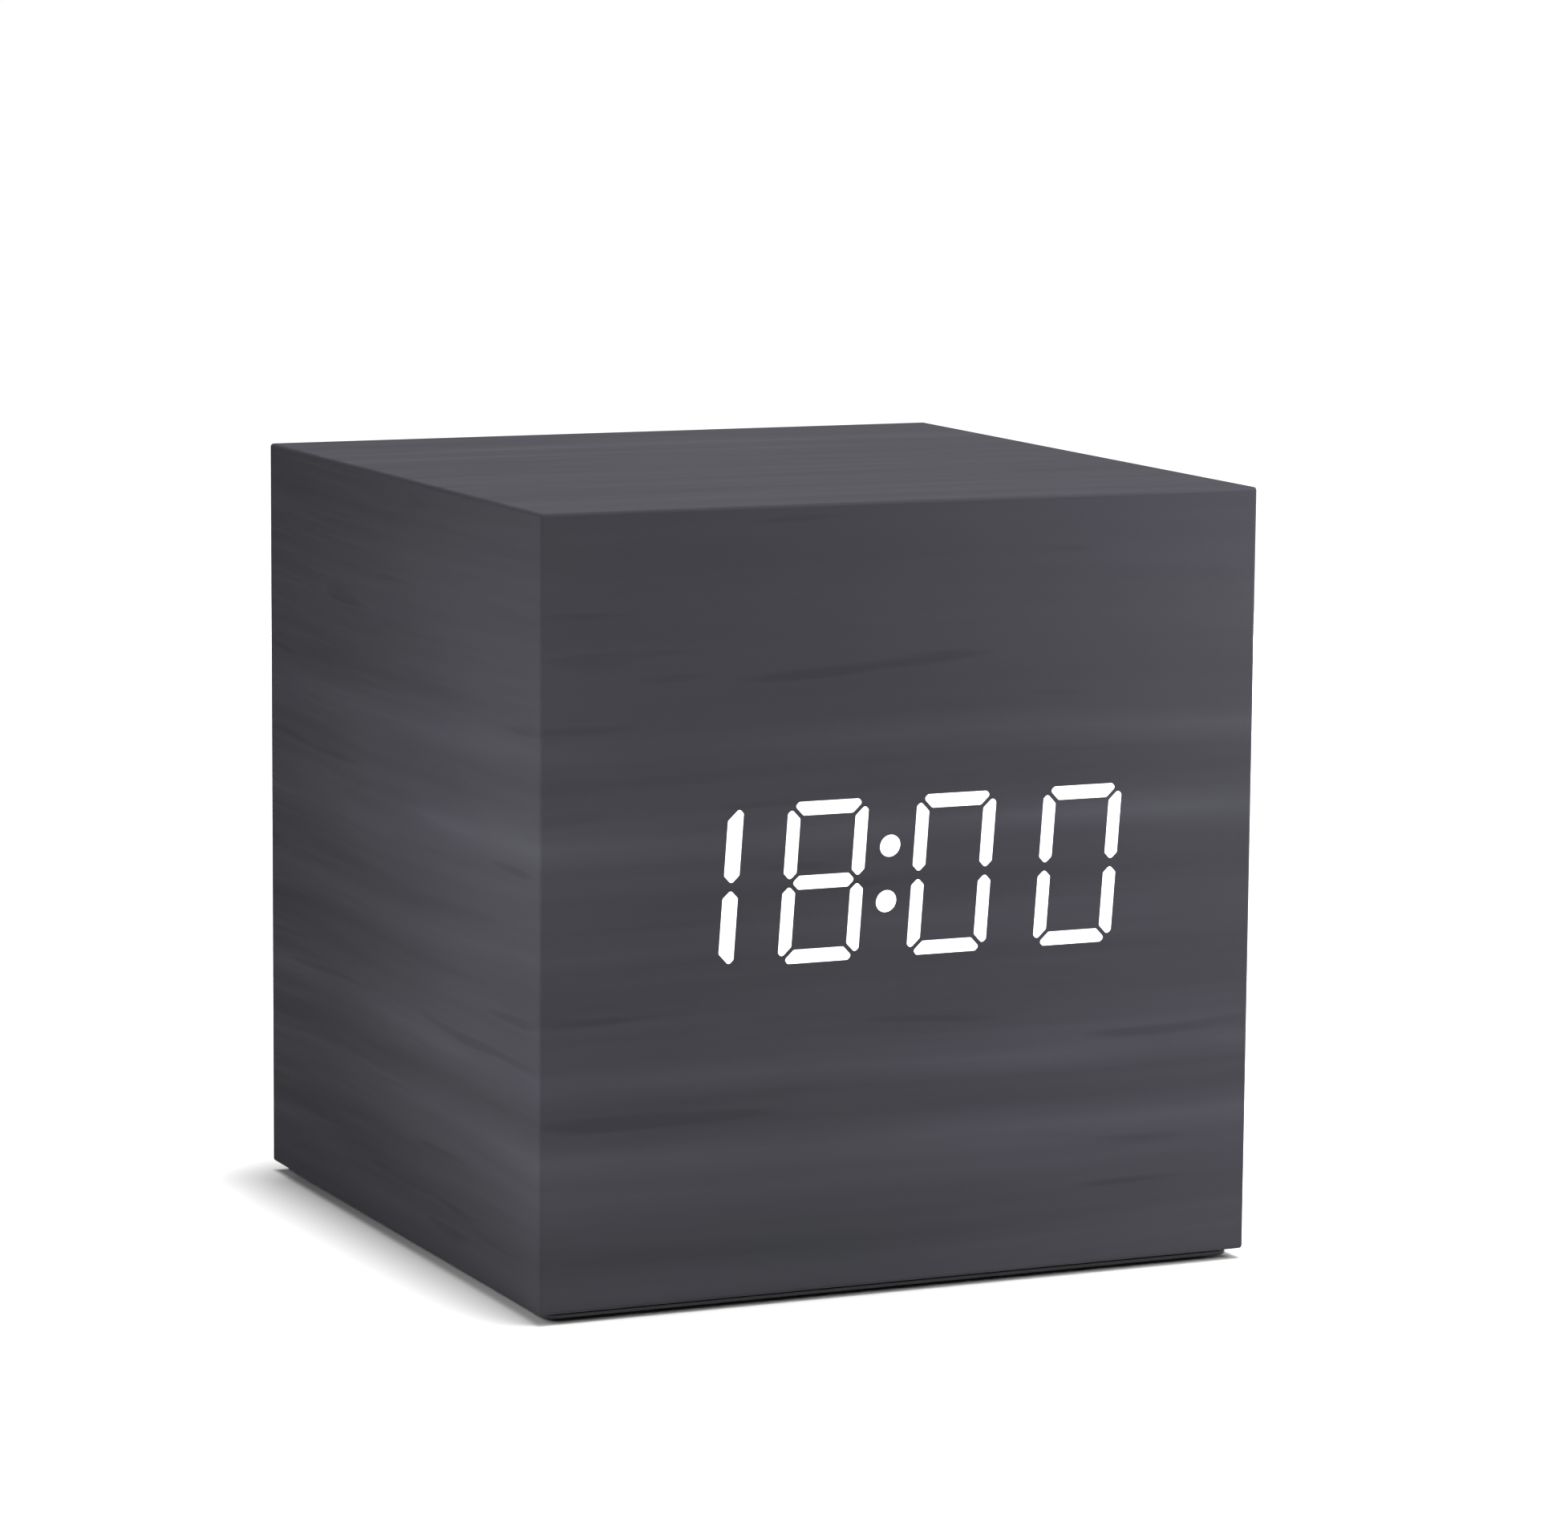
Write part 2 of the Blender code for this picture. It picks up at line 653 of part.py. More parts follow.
def cut_display_pocket(front):
    """The milled pocket behind the skin, the lit windows and the two screw pilots."""
    half_x, half_z = REFLECTOR_HALF_X + CLEARANCE, REFLECTOR_HALF_Z + CLEARANCE
    cut(front, "pocket", box(
        (DISPLAY_OFFSET - half_x, SKIN_BACK, DISPLAY_HEIGHT - half_z),
        (DISPLAY_OFFSET + half_x, FRONT_INNER + OVERRUN, DISPLAY_HEIGHT + half_z)))
    windows = lit_windows(FRONT - OVERRUN, SKIN_BACK + OVERRUN, GUIDE_GAP)
    cut(front, "windows", joined(windows))
    pilots = [screw_pilot(SMALL_SCREW, place, SMALL_SCREW["length"] + SMALL_SCREW["thick"])
              for place in display_screw_places()]
    cut(front, "pilots", joined(pilots))


def cut_control_pocket(back):
    """The pocket inside the back board and the holes for the controls."""
    centre = MAIN_CENTRE_HEIGHT
    cut(back, "pocket", box(
        (-POCKET_WIDTH / 2, BACK_INNER - OVERRUN, centre - POCKET_HEIGHT / 2),
        (POCKET_WIDTH / 2, CONTROL_BACK, centre + POCKET_HEIGHT / 2)))
    near, far = CONTROL_BACK - OVERRUN, BACK + OVERRUN
    holes = [rod(CAP_HOLE, (x, near, BUTTON_HEIGHT), (x, far, BUTTON_HEIGHT))
             for x in button_places().values()]
    row = LOWER_ROW_HEIGHT
    holes.append(rod(JACK_SNOUT + 2 * CLEARANCE, (JACK_X, near, row), (JACK_X, far, row)))
    holes.append(rod(MICROPHONE_HOLE, (0, near, row), (0, far, row), SMALL_SIDES))
    holes.append(box((SLIDE_X - SLIDE_SLOT_LENGTH / 2, near, row - SLIDE_SLOT_WIDTH / 2),
                     (SLIDE_X + SLIDE_SLOT_LENGTH / 2, far, row + SLIDE_SLOT_WIDTH / 2)))
    cut(back, "control_holes", joined(holes))
    pilots = [screw_pilot(SMALL_SCREW, place, SMALL_SCREW["length"] + SMALL_SCREW["thick"])
              for place in main_screw_places().values()]
    cut(back, "pilots", joined(pilots))


def build_corner_blocks():
    for name, x, y in corners(BLOCK_X, BLOCK_Y):
        half = BLOCK_SIDE / 2
        block = add_part("corner_block_" + name, box(
            (x - half, y - half, BLOCK_BOTTOM),
            (x + half, y + half, BLOCK_BOTTOM + BLOCK_HEIGHT)), "raw_wood")
        place = base_screw_place(x, y)
        cut(block, "pilot", screw_pilot(BASE_SCREW, place, BASE_SCREW["length"]
                                        + BASE_SCREW["thick"] + CLEARANCE))


# Base

def base_screw_place(x, y):
    """A base screw's head lies just inside the underside and points down."""
    return Matrix.Translation((x, y, BASE_BOTTOM + CLEARANCE)) @ DOWNWARD


def build_base_plate():
    flange = rounded_rectangle(CASE_WIDTH / 2 - FLANGE_INSET, CASE_DEPTH / 2 - FLANGE_INSET,
                               FLANGE_CORNER)
    base = add_part("base_plate", plate(flange, BASE_BOTTOM, FLANGE_TOP), "black_plastic")
    plug_x, plug_y = OPENING_X - CLEARANCE, OPENING_Y - CLEARANCE
    fuse(base, "plug", box((-plug_x, -plug_y, BASE_BOTTOM + FLANGE_THICK / 2),
                           (plug_x, plug_y, BASE_TOP)))
    tub_x, tub_y = BAY_HALF_LENGTH + TUB_WALL, BAY_HALF_WIDTH + TUB_WALL
    fuse(base, "tub", box((-tub_x, -tub_y, BASE_TOP - BASE_THICK / 2), (tub_x, tub_y, TUB_TOP)))
    ribs = []
    for sign in (-1, 1):
        for place in (-RIB_SPREAD, RIB_SPREAD):
            inner, outer = sorted((sign * (tub_y - TUB_WALL / 2), sign * (plug_y - RIB_THICK)))
            ribs.append(box((place - RIB_THICK / 2, inner, BASE_TOP - BASE_THICK / 2),
                            (place + RIB_THICK / 2, outer, BASE_TOP + RIB_HEIGHT)))
    fuse(base, "ribs", joined(ribs))
    door_x, door_y = DOOR_HALF_LENGTH + CLEARANCE, DOOR_HALF_WIDTH + CLEARANCE
    rebate = rounded_rectangle(door_x, door_y, DOOR_CORNER + CLEARANCE)
    cut(base, "rebate", plate(rebate, BASE_BOTTOM - OVERRUN, REBATE_TOP))
    cut(base, "bay", box((-BAY_HALF_LENGTH, -BAY_HALF_WIDTH, BASE_BOTTOM - OVERRUN),
                         (BAY_HALF_LENGTH, BAY_HALF_WIDTH, BAY_ROOF)))
    fuse(base, "dividers", joined([
        box((-BAY_HALF_LENGTH - TUB_WALL / 2, y - DIVIDER_THICK / 2, BAY_ROOF - DIVIDER_HEIGHT),
            (BAY_HALF_LENGTH + TUB_WALL / 2, y + DIVIDER_THICK / 2, BAY_ROOF + TUB_ROOF / 2))
        for y in divider_places()]))
    cut(base, "tab_notches", joined([
        box((HINGE.x - TAB_REACH - CLEARANCE, y - TAB_WIDTH / 2 - CLEARANCE,
             DOOR_TOP - TAB_THICK - CLEARANCE),
            (HINGE.x + TAB_SWEEP + CLEARANCE, y + TAB_WIDTH / 2 + CLEARANCE,
             BASE_BOTTOM + TAB_SWEEP + CLEARANCE))
        for y in tab_places()]))
    cut(base, "holes", joined(base_holes()))
    cut(base, "solder_slots", joined([
        box((x - CONTACT_THICK / 2 - CLEARANCE, y - SOLDER_TAB_WIDTH / 2 - CLEARANCE,
             BAY_ROOF - OVERRUN),
            (x + CONTACT_THICK / 2 + CLEARANCE, y + SOLDER_TAB_WIDTH / 2 + CLEARANCE,
             TUB_TOP + OVERRUN))
        for x, y in solder_tab_places()]))


def base_holes():
    """Foot seats, screw holes with their counterbores, sound slots and the finger scoop."""
    shapes = []
    for name, x, y in foot_places():
        shapes.append(rod(FOOT_DIAMETER + 2 * CLEARANCE, (x, y, BASE_BOTTOM - OVERRUN),
                          (x, y, BASE_BOTTOM + FOOT_SINK)))
    for name, x, y in corners(BLOCK_X, BLOCK_Y):
        shapes.append(counterbore(x, y))
    for index in range(SLOT_COUNT):
        y = (BAY_HALF_WIDTH + TUB_WALL + OPENING_Y) / 2 + (index - (SLOT_COUNT - 1) / 2) * SLOT_PITCH
        shapes.append(box((-SLOT_LENGTH / 2, y - SLOT_WIDTH / 2, BASE_BOTTOM - OVERRUN),
                          (SLOT_LENGTH / 2, y + SLOT_WIDTH / 2, BASE_TOP + OVERRUN)))
    scoop_x = DOOR_HALF_LENGTH + CLEARANCE
    shapes.append(rod(2 * FINGER_RADIUS, (scoop_x, 0, BASE_BOTTOM - OVERRUN),
                      (scoop_x, 0, BASE_BOTTOM + FINGER_DEPTH)))
    return shapes


def counterbore(x, y):
    """A stepped hole: wide for the head from below, narrow for the shank above."""
    head = BASE_SCREW["head"] / 2 + CLEARANCE
    shank = BASE_SCREW["shank"] / 2 + CLEARANCE
    step = BASE_BOTTOM + BASE_SCREW["thick"] + 2 * CLEARANCE
    profile = [(0, BASE_TOP + OVERRUN), (shank, BASE_TOP + OVERRUN), (shank, step), (head, step),
               (head, BASE_BOTTOM - OVERRUN), (0, BASE_BOTTOM - OVERRUN)]
    bm = bmesh.new()
    verts = [bm.verts.new((radius, 0, z)) for radius, z in profile]
    edges = [bm.edges.new(pair) for pair in zip(verts, verts[1:])]
    bmesh.ops.spin(bm, geom=verts + edges, cent=(0, 0, 0), axis=(0, 0, 1), angle=math.tau,
                   steps=SMALL_SIDES, use_duplicate=False)
    bmesh.ops.remove_doubles(bm, verts=bm.verts, dist=WELD_DISTANCE)
    bmesh.ops.recalc_face_normals(bm, faces=bm.faces)
    bmesh.ops.translate(bm, vec=(x, y, 0), verts=bm.verts)
    return mesh_from(bm)


def foot_places():
    return corners(OPENING_X - FOOT_FROM_SIDE, OPENING_Y - FOOT_FROM_FRONT)


def build_feet():
    radius = FOOT_DIAMETER / 2
    height = FOOT_PROUD + FOOT_SINK - CLEARANCE
    profile = [(0, height), (radius, height), (radius, FOOT_ROUND), (radius - FOOT_ROUND, 0), (0, 0)]
    for name, x, y in foot_places():
        turned("foot_" + name, profile, "rubber", Matrix.Translation((x, y, 0)))


def build_base_screws():
    for name, x, y in corners(BLOCK_X, BLOCK_Y):
        screw_piece("base_screw_" + name, BASE_SCREW, base_screw_place(x, y))


# Battery door

def tab_places():
    return [-TAB_SPREAD / 2, TAB_SPREAD / 2]


def build_battery_door():
    """The door turns down about the lower edge of its left end; its tabs hook over the base."""
    outline = rounded_rectangle(DOOR_HALF_LENGTH, DOOR_HALF_WIDTH, DOOR_CORNER)
    panel = plate(outline, BASE_BOTTOM, DOOR_TOP)
    panel.transform(Matrix.Translation(-HINGE))
    door = add_part("battery_door", panel, "black_plastic", Matrix.Translation(HINGE))
    fuse(door, "tabs", joined([
        box((HINGE.x - TAB_REACH, y - TAB_WIDTH / 2, DOOR_TOP - TAB_THICK),
            (HINGE.x + TAB_REACH, y + TAB_WIDTH / 2, DOOR_TOP))
        for y in tab_places()]))
    root = DOOR_HALF_LENGTH - LATCH_LENGTH
    tip = DOOR_HALF_LENGTH + OVERRUN
    cut(door, "latch_slots", joined([
        box((root, y - LATCH_SLOT / 2, BASE_BOTTOM - OVERRUN),
            (tip, y + LATCH_SLOT / 2, DOOR_TOP + OVERRUN))
        for y in (-LATCH_WIDTH / 2, LATCH_WIDTH / 2)]))
    middle = DOOR_HALF_LENGTH - LATCH_LENGTH / 2
    half_wide = (LATCH_WIDTH - LATCH_SLOT) / 2 - GRIP_WIDTH
    cut(door, "grip_grooves", joined([
        box((x - GRIP_WIDTH / 2, -half_wide, BASE_BOTTOM - OVERRUN),
            (x + GRIP_WIDTH / 2, half_wide, BASE_BOTTOM + GRIP_DEPTH))
        for x in (middle + (index - (GRIP_COUNT - 1) / 2) * GRIP_PITCH
                  for index in range(GRIP_COUNT))]))


# Cells and contacts

def cell_places():
    return [(index - (CELL_COUNT - 1) / 2) * CELL_PITCH for index in range(CELL_COUNT)]


def divider_places():
    places = cell_places()
    return [(near + far) / 2 for near, far in zip(places, places[1:])]


def build_cells():
    """Each cell's nub points left or right in turn, and its other end meets a spring."""
    radius = CELL_DIAMETER / 2
    nub = NUB_DIAMETER / 2
    body = CELL_LENGTH - NUB_LENGTH
    profile = [(0, 0), (nub, 0), (nub, -NUB_LENGTH), (radius - CELL_ROUND, -NUB_LENGTH),
               (radius, -NUB_LENGTH - CELL_ROUND), (radius, -NUB_LENGTH - body + CELL_ROUND),
               (radius - CELL_ROUND, -CELL_LENGTH), (0, -CELL_LENGTH)]
    tip = BAY_HALF_LENGTH - CONTACT_FACE_GAP - DIMPLE_HEIGHT - CLEARANCE
    for index, y in enumerate(cell_places()):
        sign = -1 if index % 2 == 0 else 1
        turn = TO_LEFT if sign < 0 else TO_RIGHT
        place = Matrix.Translation((sign * tip, y, CELL_AXIS)) @ turn
        turned("battery_" + str(index + 1), profile, "cell_jacket", place)


def contact_plane(sign):
    """Middle of the contact plates at one end of the bay."""
    return sign * (BAY_HALF_LENGTH - SOLDER_GAP - CONTACT_THICK / 2)


def solder_tab_places():
    cells = cell_places()
    return [(contact_plane(-1), cells[0]), (contact_plane(1), cells[-1])]


def contact_sheet(sign, near, far):
    """A flat plate that covers the ends of one cell or of two neighbours."""
    middle = contact_plane(sign)
    return box((middle - CONTACT_THICK / 2, near - CONTACT_WIDTH / 2, REBATE_TOP + CONTACT_FLOOR),
               (middle + CONTACT_THICK / 2, far + CONTACT_WIDTH / 2, BAY_ROOF - DIVIDER_HEIGHT
                - CLEARANCE))


def dimple(sign, y):
    face = contact_plane(sign)
    inward = -sign * (CONTACT_THICK / 2 + DIMPLE_HEIGHT)
    return rod(DIMPLE_DIAMETER, (face, y, CELL_AXIS), (face + inward, y, CELL_AXIS), SMALL_SIDES)


def spring(sign, y):
    """A conical spring whose widest turn is sunk in the plate."""
    face = contact_plane(sign)
    start = CONTACT_THICK / 2
    end = CONTACT_THICK / 2 + SPRING_LENGTH - SPRING_WIRE / 2
    count = SPRING_TURNS * SPRING_POINTS
    curve = bpy.data.curves.new("spring", "CURVE")
    curve.dimensions = "3D"
    curve.bevel_depth = SPRING_WIRE / 2
    curve.bevel_resolution = 1
    curve.use_fill_caps = True
    spline = curve.splines.new("POLY")
    spline.points.add(count)
    for step, point in enumerate(spline.points):
        share = step / count
        angle = math.tau * SPRING_TURNS * share
        radius = (SPRING_WIDE + (SPRING_NARROW - SPRING_WIDE) * share) / 2
        reach = start + (end - start) * share
        point.co = (face - sign * reach, y + radius * math.cos(angle),
                    CELL_AXIS + radius * math.sin(angle), 1)
    return mesh_of_curve(curve, Matrix.Identity(4))


def solder_tab(sign, y):
    middle = contact_plane(sign)
    return box((middle - CONTACT_THICK / 2, y - SOLDER_TAB_WIDTH / 2, CELL_AXIS),
               (middle + CONTACT_THICK / 2, y + SOLDER_TAB_WIDTH / 2, TUB_TOP + SOLDER_TAB_RISE))


def build_contacts():
    """Two end terminals with solder tabs, and two bridges that put the cells in series."""
    first, second, third = cell_places()
    positive = add_part("contact_positive", contact_sheet(-1, first, first), "nickel")
    fuse(positive, "dimple", dimple(-1, first))
    fuse(positive, "solder_tab", solder_tab(-1, first))
    negative = add_part("contact_negative", contact_sheet(1, third, third), "nickel")
    fuse(negative, "spring", spring(1, third))
    fuse(negative, "solder_tab", solder_tab(1, third))
    bridges = {"contact_bridge_right": (1, first, second, first),
               "contact_bridge_left": (-1, second, third, second)}
    for name, (sign, near, far, sprung) in bridges.items():
        bridge = add_part(name, contact_sheet(sign, near, far), "nickel")
        fuse(bridge, "spring", spring(sign, sprung))
        fuse(bridge, "dimple", dimple(sign, far if sprung == near else near))


# Display

def display_screw_places():
    reach = REFLECTOR_HALF_X + EAR_LENGTH / 2
    y = DISPLAY_BOARD_BACK + CLEARANCE + SMALL_SCREW["thick"]
    return [Matrix.Translation((DISPLAY_OFFSET + sign * reach, y, DISPLAY_HEIGHT)) @ TO_BACK
            for sign in (-1, 1)]


def display_screw_holes(front, back):
    """Through holes for the two display screws in a piece from front to back."""
    reach = REFLECTOR_HALF_X + EAR_LENGTH / 2
    width = SMALL_SCREW["shank"] + 2 * CLEARANCE
    return joined([rod(width, (DISPLAY_OFFSET + sign * reach, front - OVERRUN, DISPLAY_HEIGHT),
                       (DISPLAY_OFFSET + sign * reach, back + OVERRUN, DISPLAY_HEIGHT), SMALL_SIDES)
                   for sign in (-1, 1)])


def build_reflector():
    """A black block with a well for every stroke, open at both ends, and an ear at each side."""
    part = add_part("display_reflector", box(
        (DISPLAY_OFFSET - REFLECTOR_HALF_X, REFLECTOR_FRONT, DISPLAY_HEIGHT - REFLECTOR_HALF_Z),
        (DISPLAY_OFFSET + REFLECTOR_HALF_X, REFLECTOR_BACK, DISPLAY_HEIGHT + REFLECTOR_HALF_Z)),
        "black_plastic")
    ear_front = FRONT_INNER + CLEARANCE
    fuse(part, "ears", box(
        (DISPLAY_OFFSET - DISPLAY_HALF_X, ear_front, DISPLAY_HEIGHT - EAR_HEIGHT / 2),
        (DISPLAY_OFFSET + DISPLAY_HALF_X, REFLECTOR_BACK, DISPLAY_HEIGHT + EAR_HEIGHT / 2)))
    cut(part, "screw_holes", display_screw_holes(ear_front, REFLECTOR_BACK))
    recess = REFLECTOR_BACK - SHEET_RECESS
    cut(part, "sheet_recesses", joined([
        front_plate(sheet_outline(x, half_x, half_z, GUIDE_GAP), recess, REFLECTOR_BACK + OVERRUN)
        for name, x, half_x, half_z in sheets()]))
    front, back = REFLECTOR_FRONT - OVERRUN, recess + SHEET_THICK
    wells = [front_plate(colon_outline(sign, GUIDE_GAP), front, back) for sign in (-1, 1)]
    for index in range(len(FIGURES)):
        wells += [front_plate(stroke_outline(figure_centre(index), stroke, GUIDE_GAP, False),
                              front, back) for stroke in STROKE_SHARES]
    cut(part, "wells", joined(wells))


def build_light_guides():
    """Each guide is a sheet with a boss for every stroke; lit bosses reach the front face."""
    lit_front = FRONT + LIT_FACE_DEPTH
    sheet_back = SHEET_FRONT + SHEET_THICK
    boss_back = SHEET_FRONT + SHEET_THICK / 2
    for name, x, half_x, half_z in sheets():
        sheet = front_plate(sheet_outline(x, half_x, half_z, 0), SHEET_FRONT, sheet_back)
        guide = add_part("light_guide_" + name, sheet, "lit_white")
        if name == "colon":
            bosses = [front_plate(colon_outline(sign, 0), lit_front, boss_back)
                      for sign in (-1, 1)]
        else:
            lit = LIT_STROKES[FIGURES[name]]
            bosses = [front_plate(stroke_outline(x, stroke, 0),
                                  lit_front if stroke in lit else REFLECTOR_FRONT, boss_back)
                      for stroke in STROKE_SHARES]
        fuse(guide, "bosses", joined(bosses))


def led_places():
    places = [(DISPLAY_OFFSET + sign * COLON_SPREAD / 2 * LEAN_SLOPE,
               DISPLAY_HEIGHT + COLON_LIFT + sign * COLON_SPREAD / 2, False) for sign in (-1, 1)]
    for index in range(len(FIGURES)):
        for share_x, share_z, upright in STROKE_SHARES.values():
            x, z = leaned(share_x * DIGIT_WIDTH / 2, share_z * DIGIT_HEIGHT / 2)
            places.append((figure_centre(index) + x, DISPLAY_HEIGHT + z, upright))
    return places


def build_display_board():
    part = add_part("display_board", box(
        (DISPLAY_OFFSET - DISPLAY_HALF_X, DISPLAY_BOARD_FRONT, DISPLAY_HEIGHT - REFLECTOR_HALF_Z),
        (DISPLAY_OFFSET + DISPLAY_HALF_X, DISPLAY_BOARD_BACK, DISPLAY_HEIGHT + REFLECTOR_HALF_Z)),
        "circuit")
    leds = []
    for x, z, upright in led_places():
        wide, tall = (LED_WIDTH, LED_LENGTH) if upright else (LED_LENGTH, LED_WIDTH)
        leds.append(box((x - wide / 2, DISPLAY_BOARD_FRONT - LED_HEIGHT, z - tall / 2),
                        (x + wide / 2, DISPLAY_BOARD_FRONT + CIRCUIT_THICK / 2, z + tall / 2)))
    fuse(part, "leds", joined(leds))
    fuse(part, "ribbon_socket", box(
        (DISPLAY_OFFSET - SOCKET_WIDTH / 2, DISPLAY_BOARD_BACK - CIRCUIT_THICK / 2,
         RIBBON_HEIGHT - SOCKET_TALL / 2),
        (DISPLAY_OFFSET + SOCKET_WIDTH / 2, DISPLAY_BOARD_BACK + SOCKET_DEEP,
         RIBBON_HEIGHT + SOCKET_TALL / 2)))
    cut(part, "screw_holes", display_screw_holes(DISPLAY_BOARD_FRONT, DISPLAY_BOARD_BACK))
    for side, place in zip(("left", "right"), display_screw_places()):
        screw_piece("display_screw_" + side, SMALL_SCREW, place)


# Main board and controls

def button_places():
    return {"down": -BUTTON_PITCH, "up": 0, "set": BUTTON_PITCH}


def main_screw_places():
    """Names and places of the board's four screws, whose heads point to the front."""
    x = MAIN_WIDTH / 2 - SCREW_FROM_EDGE
    z = MAIN_HEIGHT / 2 - SCREW_FROM_EDGE
    y = MAIN_FRONT - CLEARANCE - SMALL_SCREW["thick"]
    names = {(-1, -1): "lower_left", (1, -1): "lower_right",
             (-1, 1): "upper_left", (1, 1): "upper_right"}
    return {name: Matrix.Translation((sign_x * x, y, MAIN_CENTRE_HEIGHT + sign_z * z)) @ TO_FRONT
            for (sign_x, sign_z), name in names.items()}


def build_main_board():
    centre = MAIN_CENTRE_HEIGHT
    part = add_part("main_board", box(
        (-MAIN_WIDTH / 2, MAIN_FRONT, centre - MAIN_HEIGHT / 2),
        (MAIN_WIDTH / 2, MAIN_BACK, centre + MAIN_HEIGHT / 2)), "circuit")
    fuse(part, "ribbon_socket", box(
        (DISPLAY_OFFSET - SOCKET_WIDTH / 2, MAIN_FRONT - SOCKET_DEEP, RIBBON_HEIGHT - SOCKET_TALL / 2),
        (DISPLAY_OFFSET + SOCKET_WIDTH / 2, MAIN_FRONT + CIRCUIT_THICK / 2,
         RIBBON_HEIGHT + SOCKET_TALL / 2)))
    half_x, half_z = JACK_WIDTH / 2 + CLEARANCE, JACK_HEIGHT / 2 + CLEARANCE
    cut(part, "jack_hole", box(
        (JACK_X - half_x, MAIN_FRONT - OVERRUN, LOWER_ROW_HEIGHT - half_z),
        (JACK_X + half_x, MAIN_BACK + OVERRUN, LOWER_ROW_HEIGHT + half_z)))
    cut(part, "screw_holes", joined([
        screw_pilot(SMALL_SCREW, place, SMALL_SCREW["length"])
        for place in main_screw_places().values()]))
    for name, place in main_screw_places().items():
        screw_piece("board_screw_" + name, SMALL_SCREW, place)


def build_buttons():
    """Each cap and the plunger under it slide in together towards a switch on the board."""
    cap_radius, flange_radius = CAP_DIAMETER / 2, FLANGE_DIAMETER / 2
    flange_face = -CONTROL_SKIN - CLEARANCE
    cap = [(0, CAP_PROUD - CAP_DISH), (cap_radius - 2 * CAP_ROUND, CAP_PROUD),
           (cap_radius - CAP_ROUND, CAP_PROUD), (cap_radius, CAP_PROUD - CAP_ROUND),
           (cap_radius, flange_face), (flange_radius, flange_face),
           (flange_radius, flange_face - CAP_FLANGE_THICK), (0, flange_face - CAP_FLANGE_THICK)]
    switch_base = MAIN_BACK + SOLDER_GAP
    bore_end = switch_base + SWITCH_HEIGHT - SWITCH_BORE_DEPTH
    plunger_end = bore_end + CAP_TRAVEL + CLEARANCE - BACK
    plunger_top = flange_face - CAP_FLANGE_THICK - SOLDER_GAP
    plunger_radius = PLUNGER_DIAMETER / 2
    plunger = [(0, plunger_top), (plunger_radius, plunger_top), (plunger_radius, plunger_end),
               (0, plunger_end)]
    for name, x in button_places().items():
        slide = bpy.data.objects.new(name + "_button_slide", None)
        slide.location = (x, BACK, BUTTON_HEIGHT)
        slide.empty_display_size = CAP_DIAMETER
        parts_collection.objects.link(slide)
        turned(name + "_button_cap", cap, "black_plastic", TO_BACK).parent = slide
        turned(name + "_plunger", plunger, "black_plastic", TO_BACK, SMALL_SIDES).parent = slide
        half = SWITCH_SIDE / 2
        body = add_part(name + "_switch", box(
            (x - half, switch_base, BUTTON_HEIGHT - half),
            (x + half, switch_base + SWITCH_HEIGHT, BUTTON_HEIGHT + half)), "black_plastic")
        cut(body, "bore", rod(PLUNGER_DIAMETER + 2 * CLEARANCE, (x, bore_end, BUTTON_HEIGHT),
                              (x, switch_base + SWITCH_HEIGHT + OVERRUN, BUTTON_HEIGHT),
                              SMALL_SIDES))


def build_sound_switch():
    """The knob rests at the left end of its slot, as seen from the front."""
    base = MAIN_BACK + SOLDER_GAP
    top = base + SLIDE_BODY_HEIGHT
    row = LOWER_ROW_HEIGHT
    body = add_part("sound_switch_body", box(
        (SLIDE_X - SLIDE_BODY_LENGTH / 2, base, row - SLIDE_BODY_WIDTH / 2),
        (SLIDE_X + SLIDE_BODY_LENGTH / 2, top, row + SLIDE_BODY_WIDTH / 2)), "steel")
    cut(body, "slot", box(
        (SLIDE_X - SLIDE_SLOT_LENGTH / 2, top - SLIDE_SLOT_DEPTH, row - SLIDE_SLOT_WIDTH / 2),
        (SLIDE_X + SLIDE_SLOT_LENGTH / 2, top + OVERRUN, row + SLIDE_SLOT_WIDTH / 2)))
    rest = Vector((SLIDE_X - KNOB_TRAVEL / 2, BACK, row))
    knob = add_part("sound_switch_knob", box(
        (-KNOB_LENGTH / 2, top - SLIDE_SLOT_DEPTH + CLEARANCE - BACK, -KNOB_WIDTH / 2),
        (KNOB_LENGTH / 2, KNOB_PROUD, KNOB_WIDTH / 2)), "black_plastic", Matrix.Translation(rest))
    soften(knob, KNOB_ROUND)


def build_jack():
    """The power inlet: a round socket with a centre pin, in a block that fits the board."""
    row = LOWER_ROW_HEIGHT
    back_end = JACK_BACK - JACK_LENGTH
    part = add_part("dc_jack", box(
        (JACK_X - JACK_WIDTH / 2, back_end, row - JACK_HEIGHT / 2),
        (JACK_X + JACK_WIDTH / 2, JACK_BACK, row + JACK_HEIGHT / 2)), "black_plastic")
    mouth = BACK - JACK_SINK
    fuse(part, "snout", rod(JACK_SNOUT, (JACK_X, JACK_BACK - OVERRUN, row), (JACK_X, mouth, row)))
    cut(part, "bore", rod(JACK_BORE, (JACK_X, mouth - JACK_BORE_DEPTH, row),
                          (JACK_X, mouth + OVERRUN, row)))
    fuse(part, "pin", rod(JACK_PIN, (JACK_X, mouth - JACK_BORE_DEPTH - OVERRUN, row),
                          (JACK_X, mouth - JACK_PIN_SET_BACK, row), SMALL_SIDES))


def build_microphone():
    near = MAIN_BACK + SOLDER_GAP
    add_part("microphone", rod(MICROPHONE_DIAMETER, (0, near, LOWER_ROW_HEIGHT),
                               (0, near + MICROPHONE_HEIGHT, LOWER_ROW_HEIGHT)), "steel")


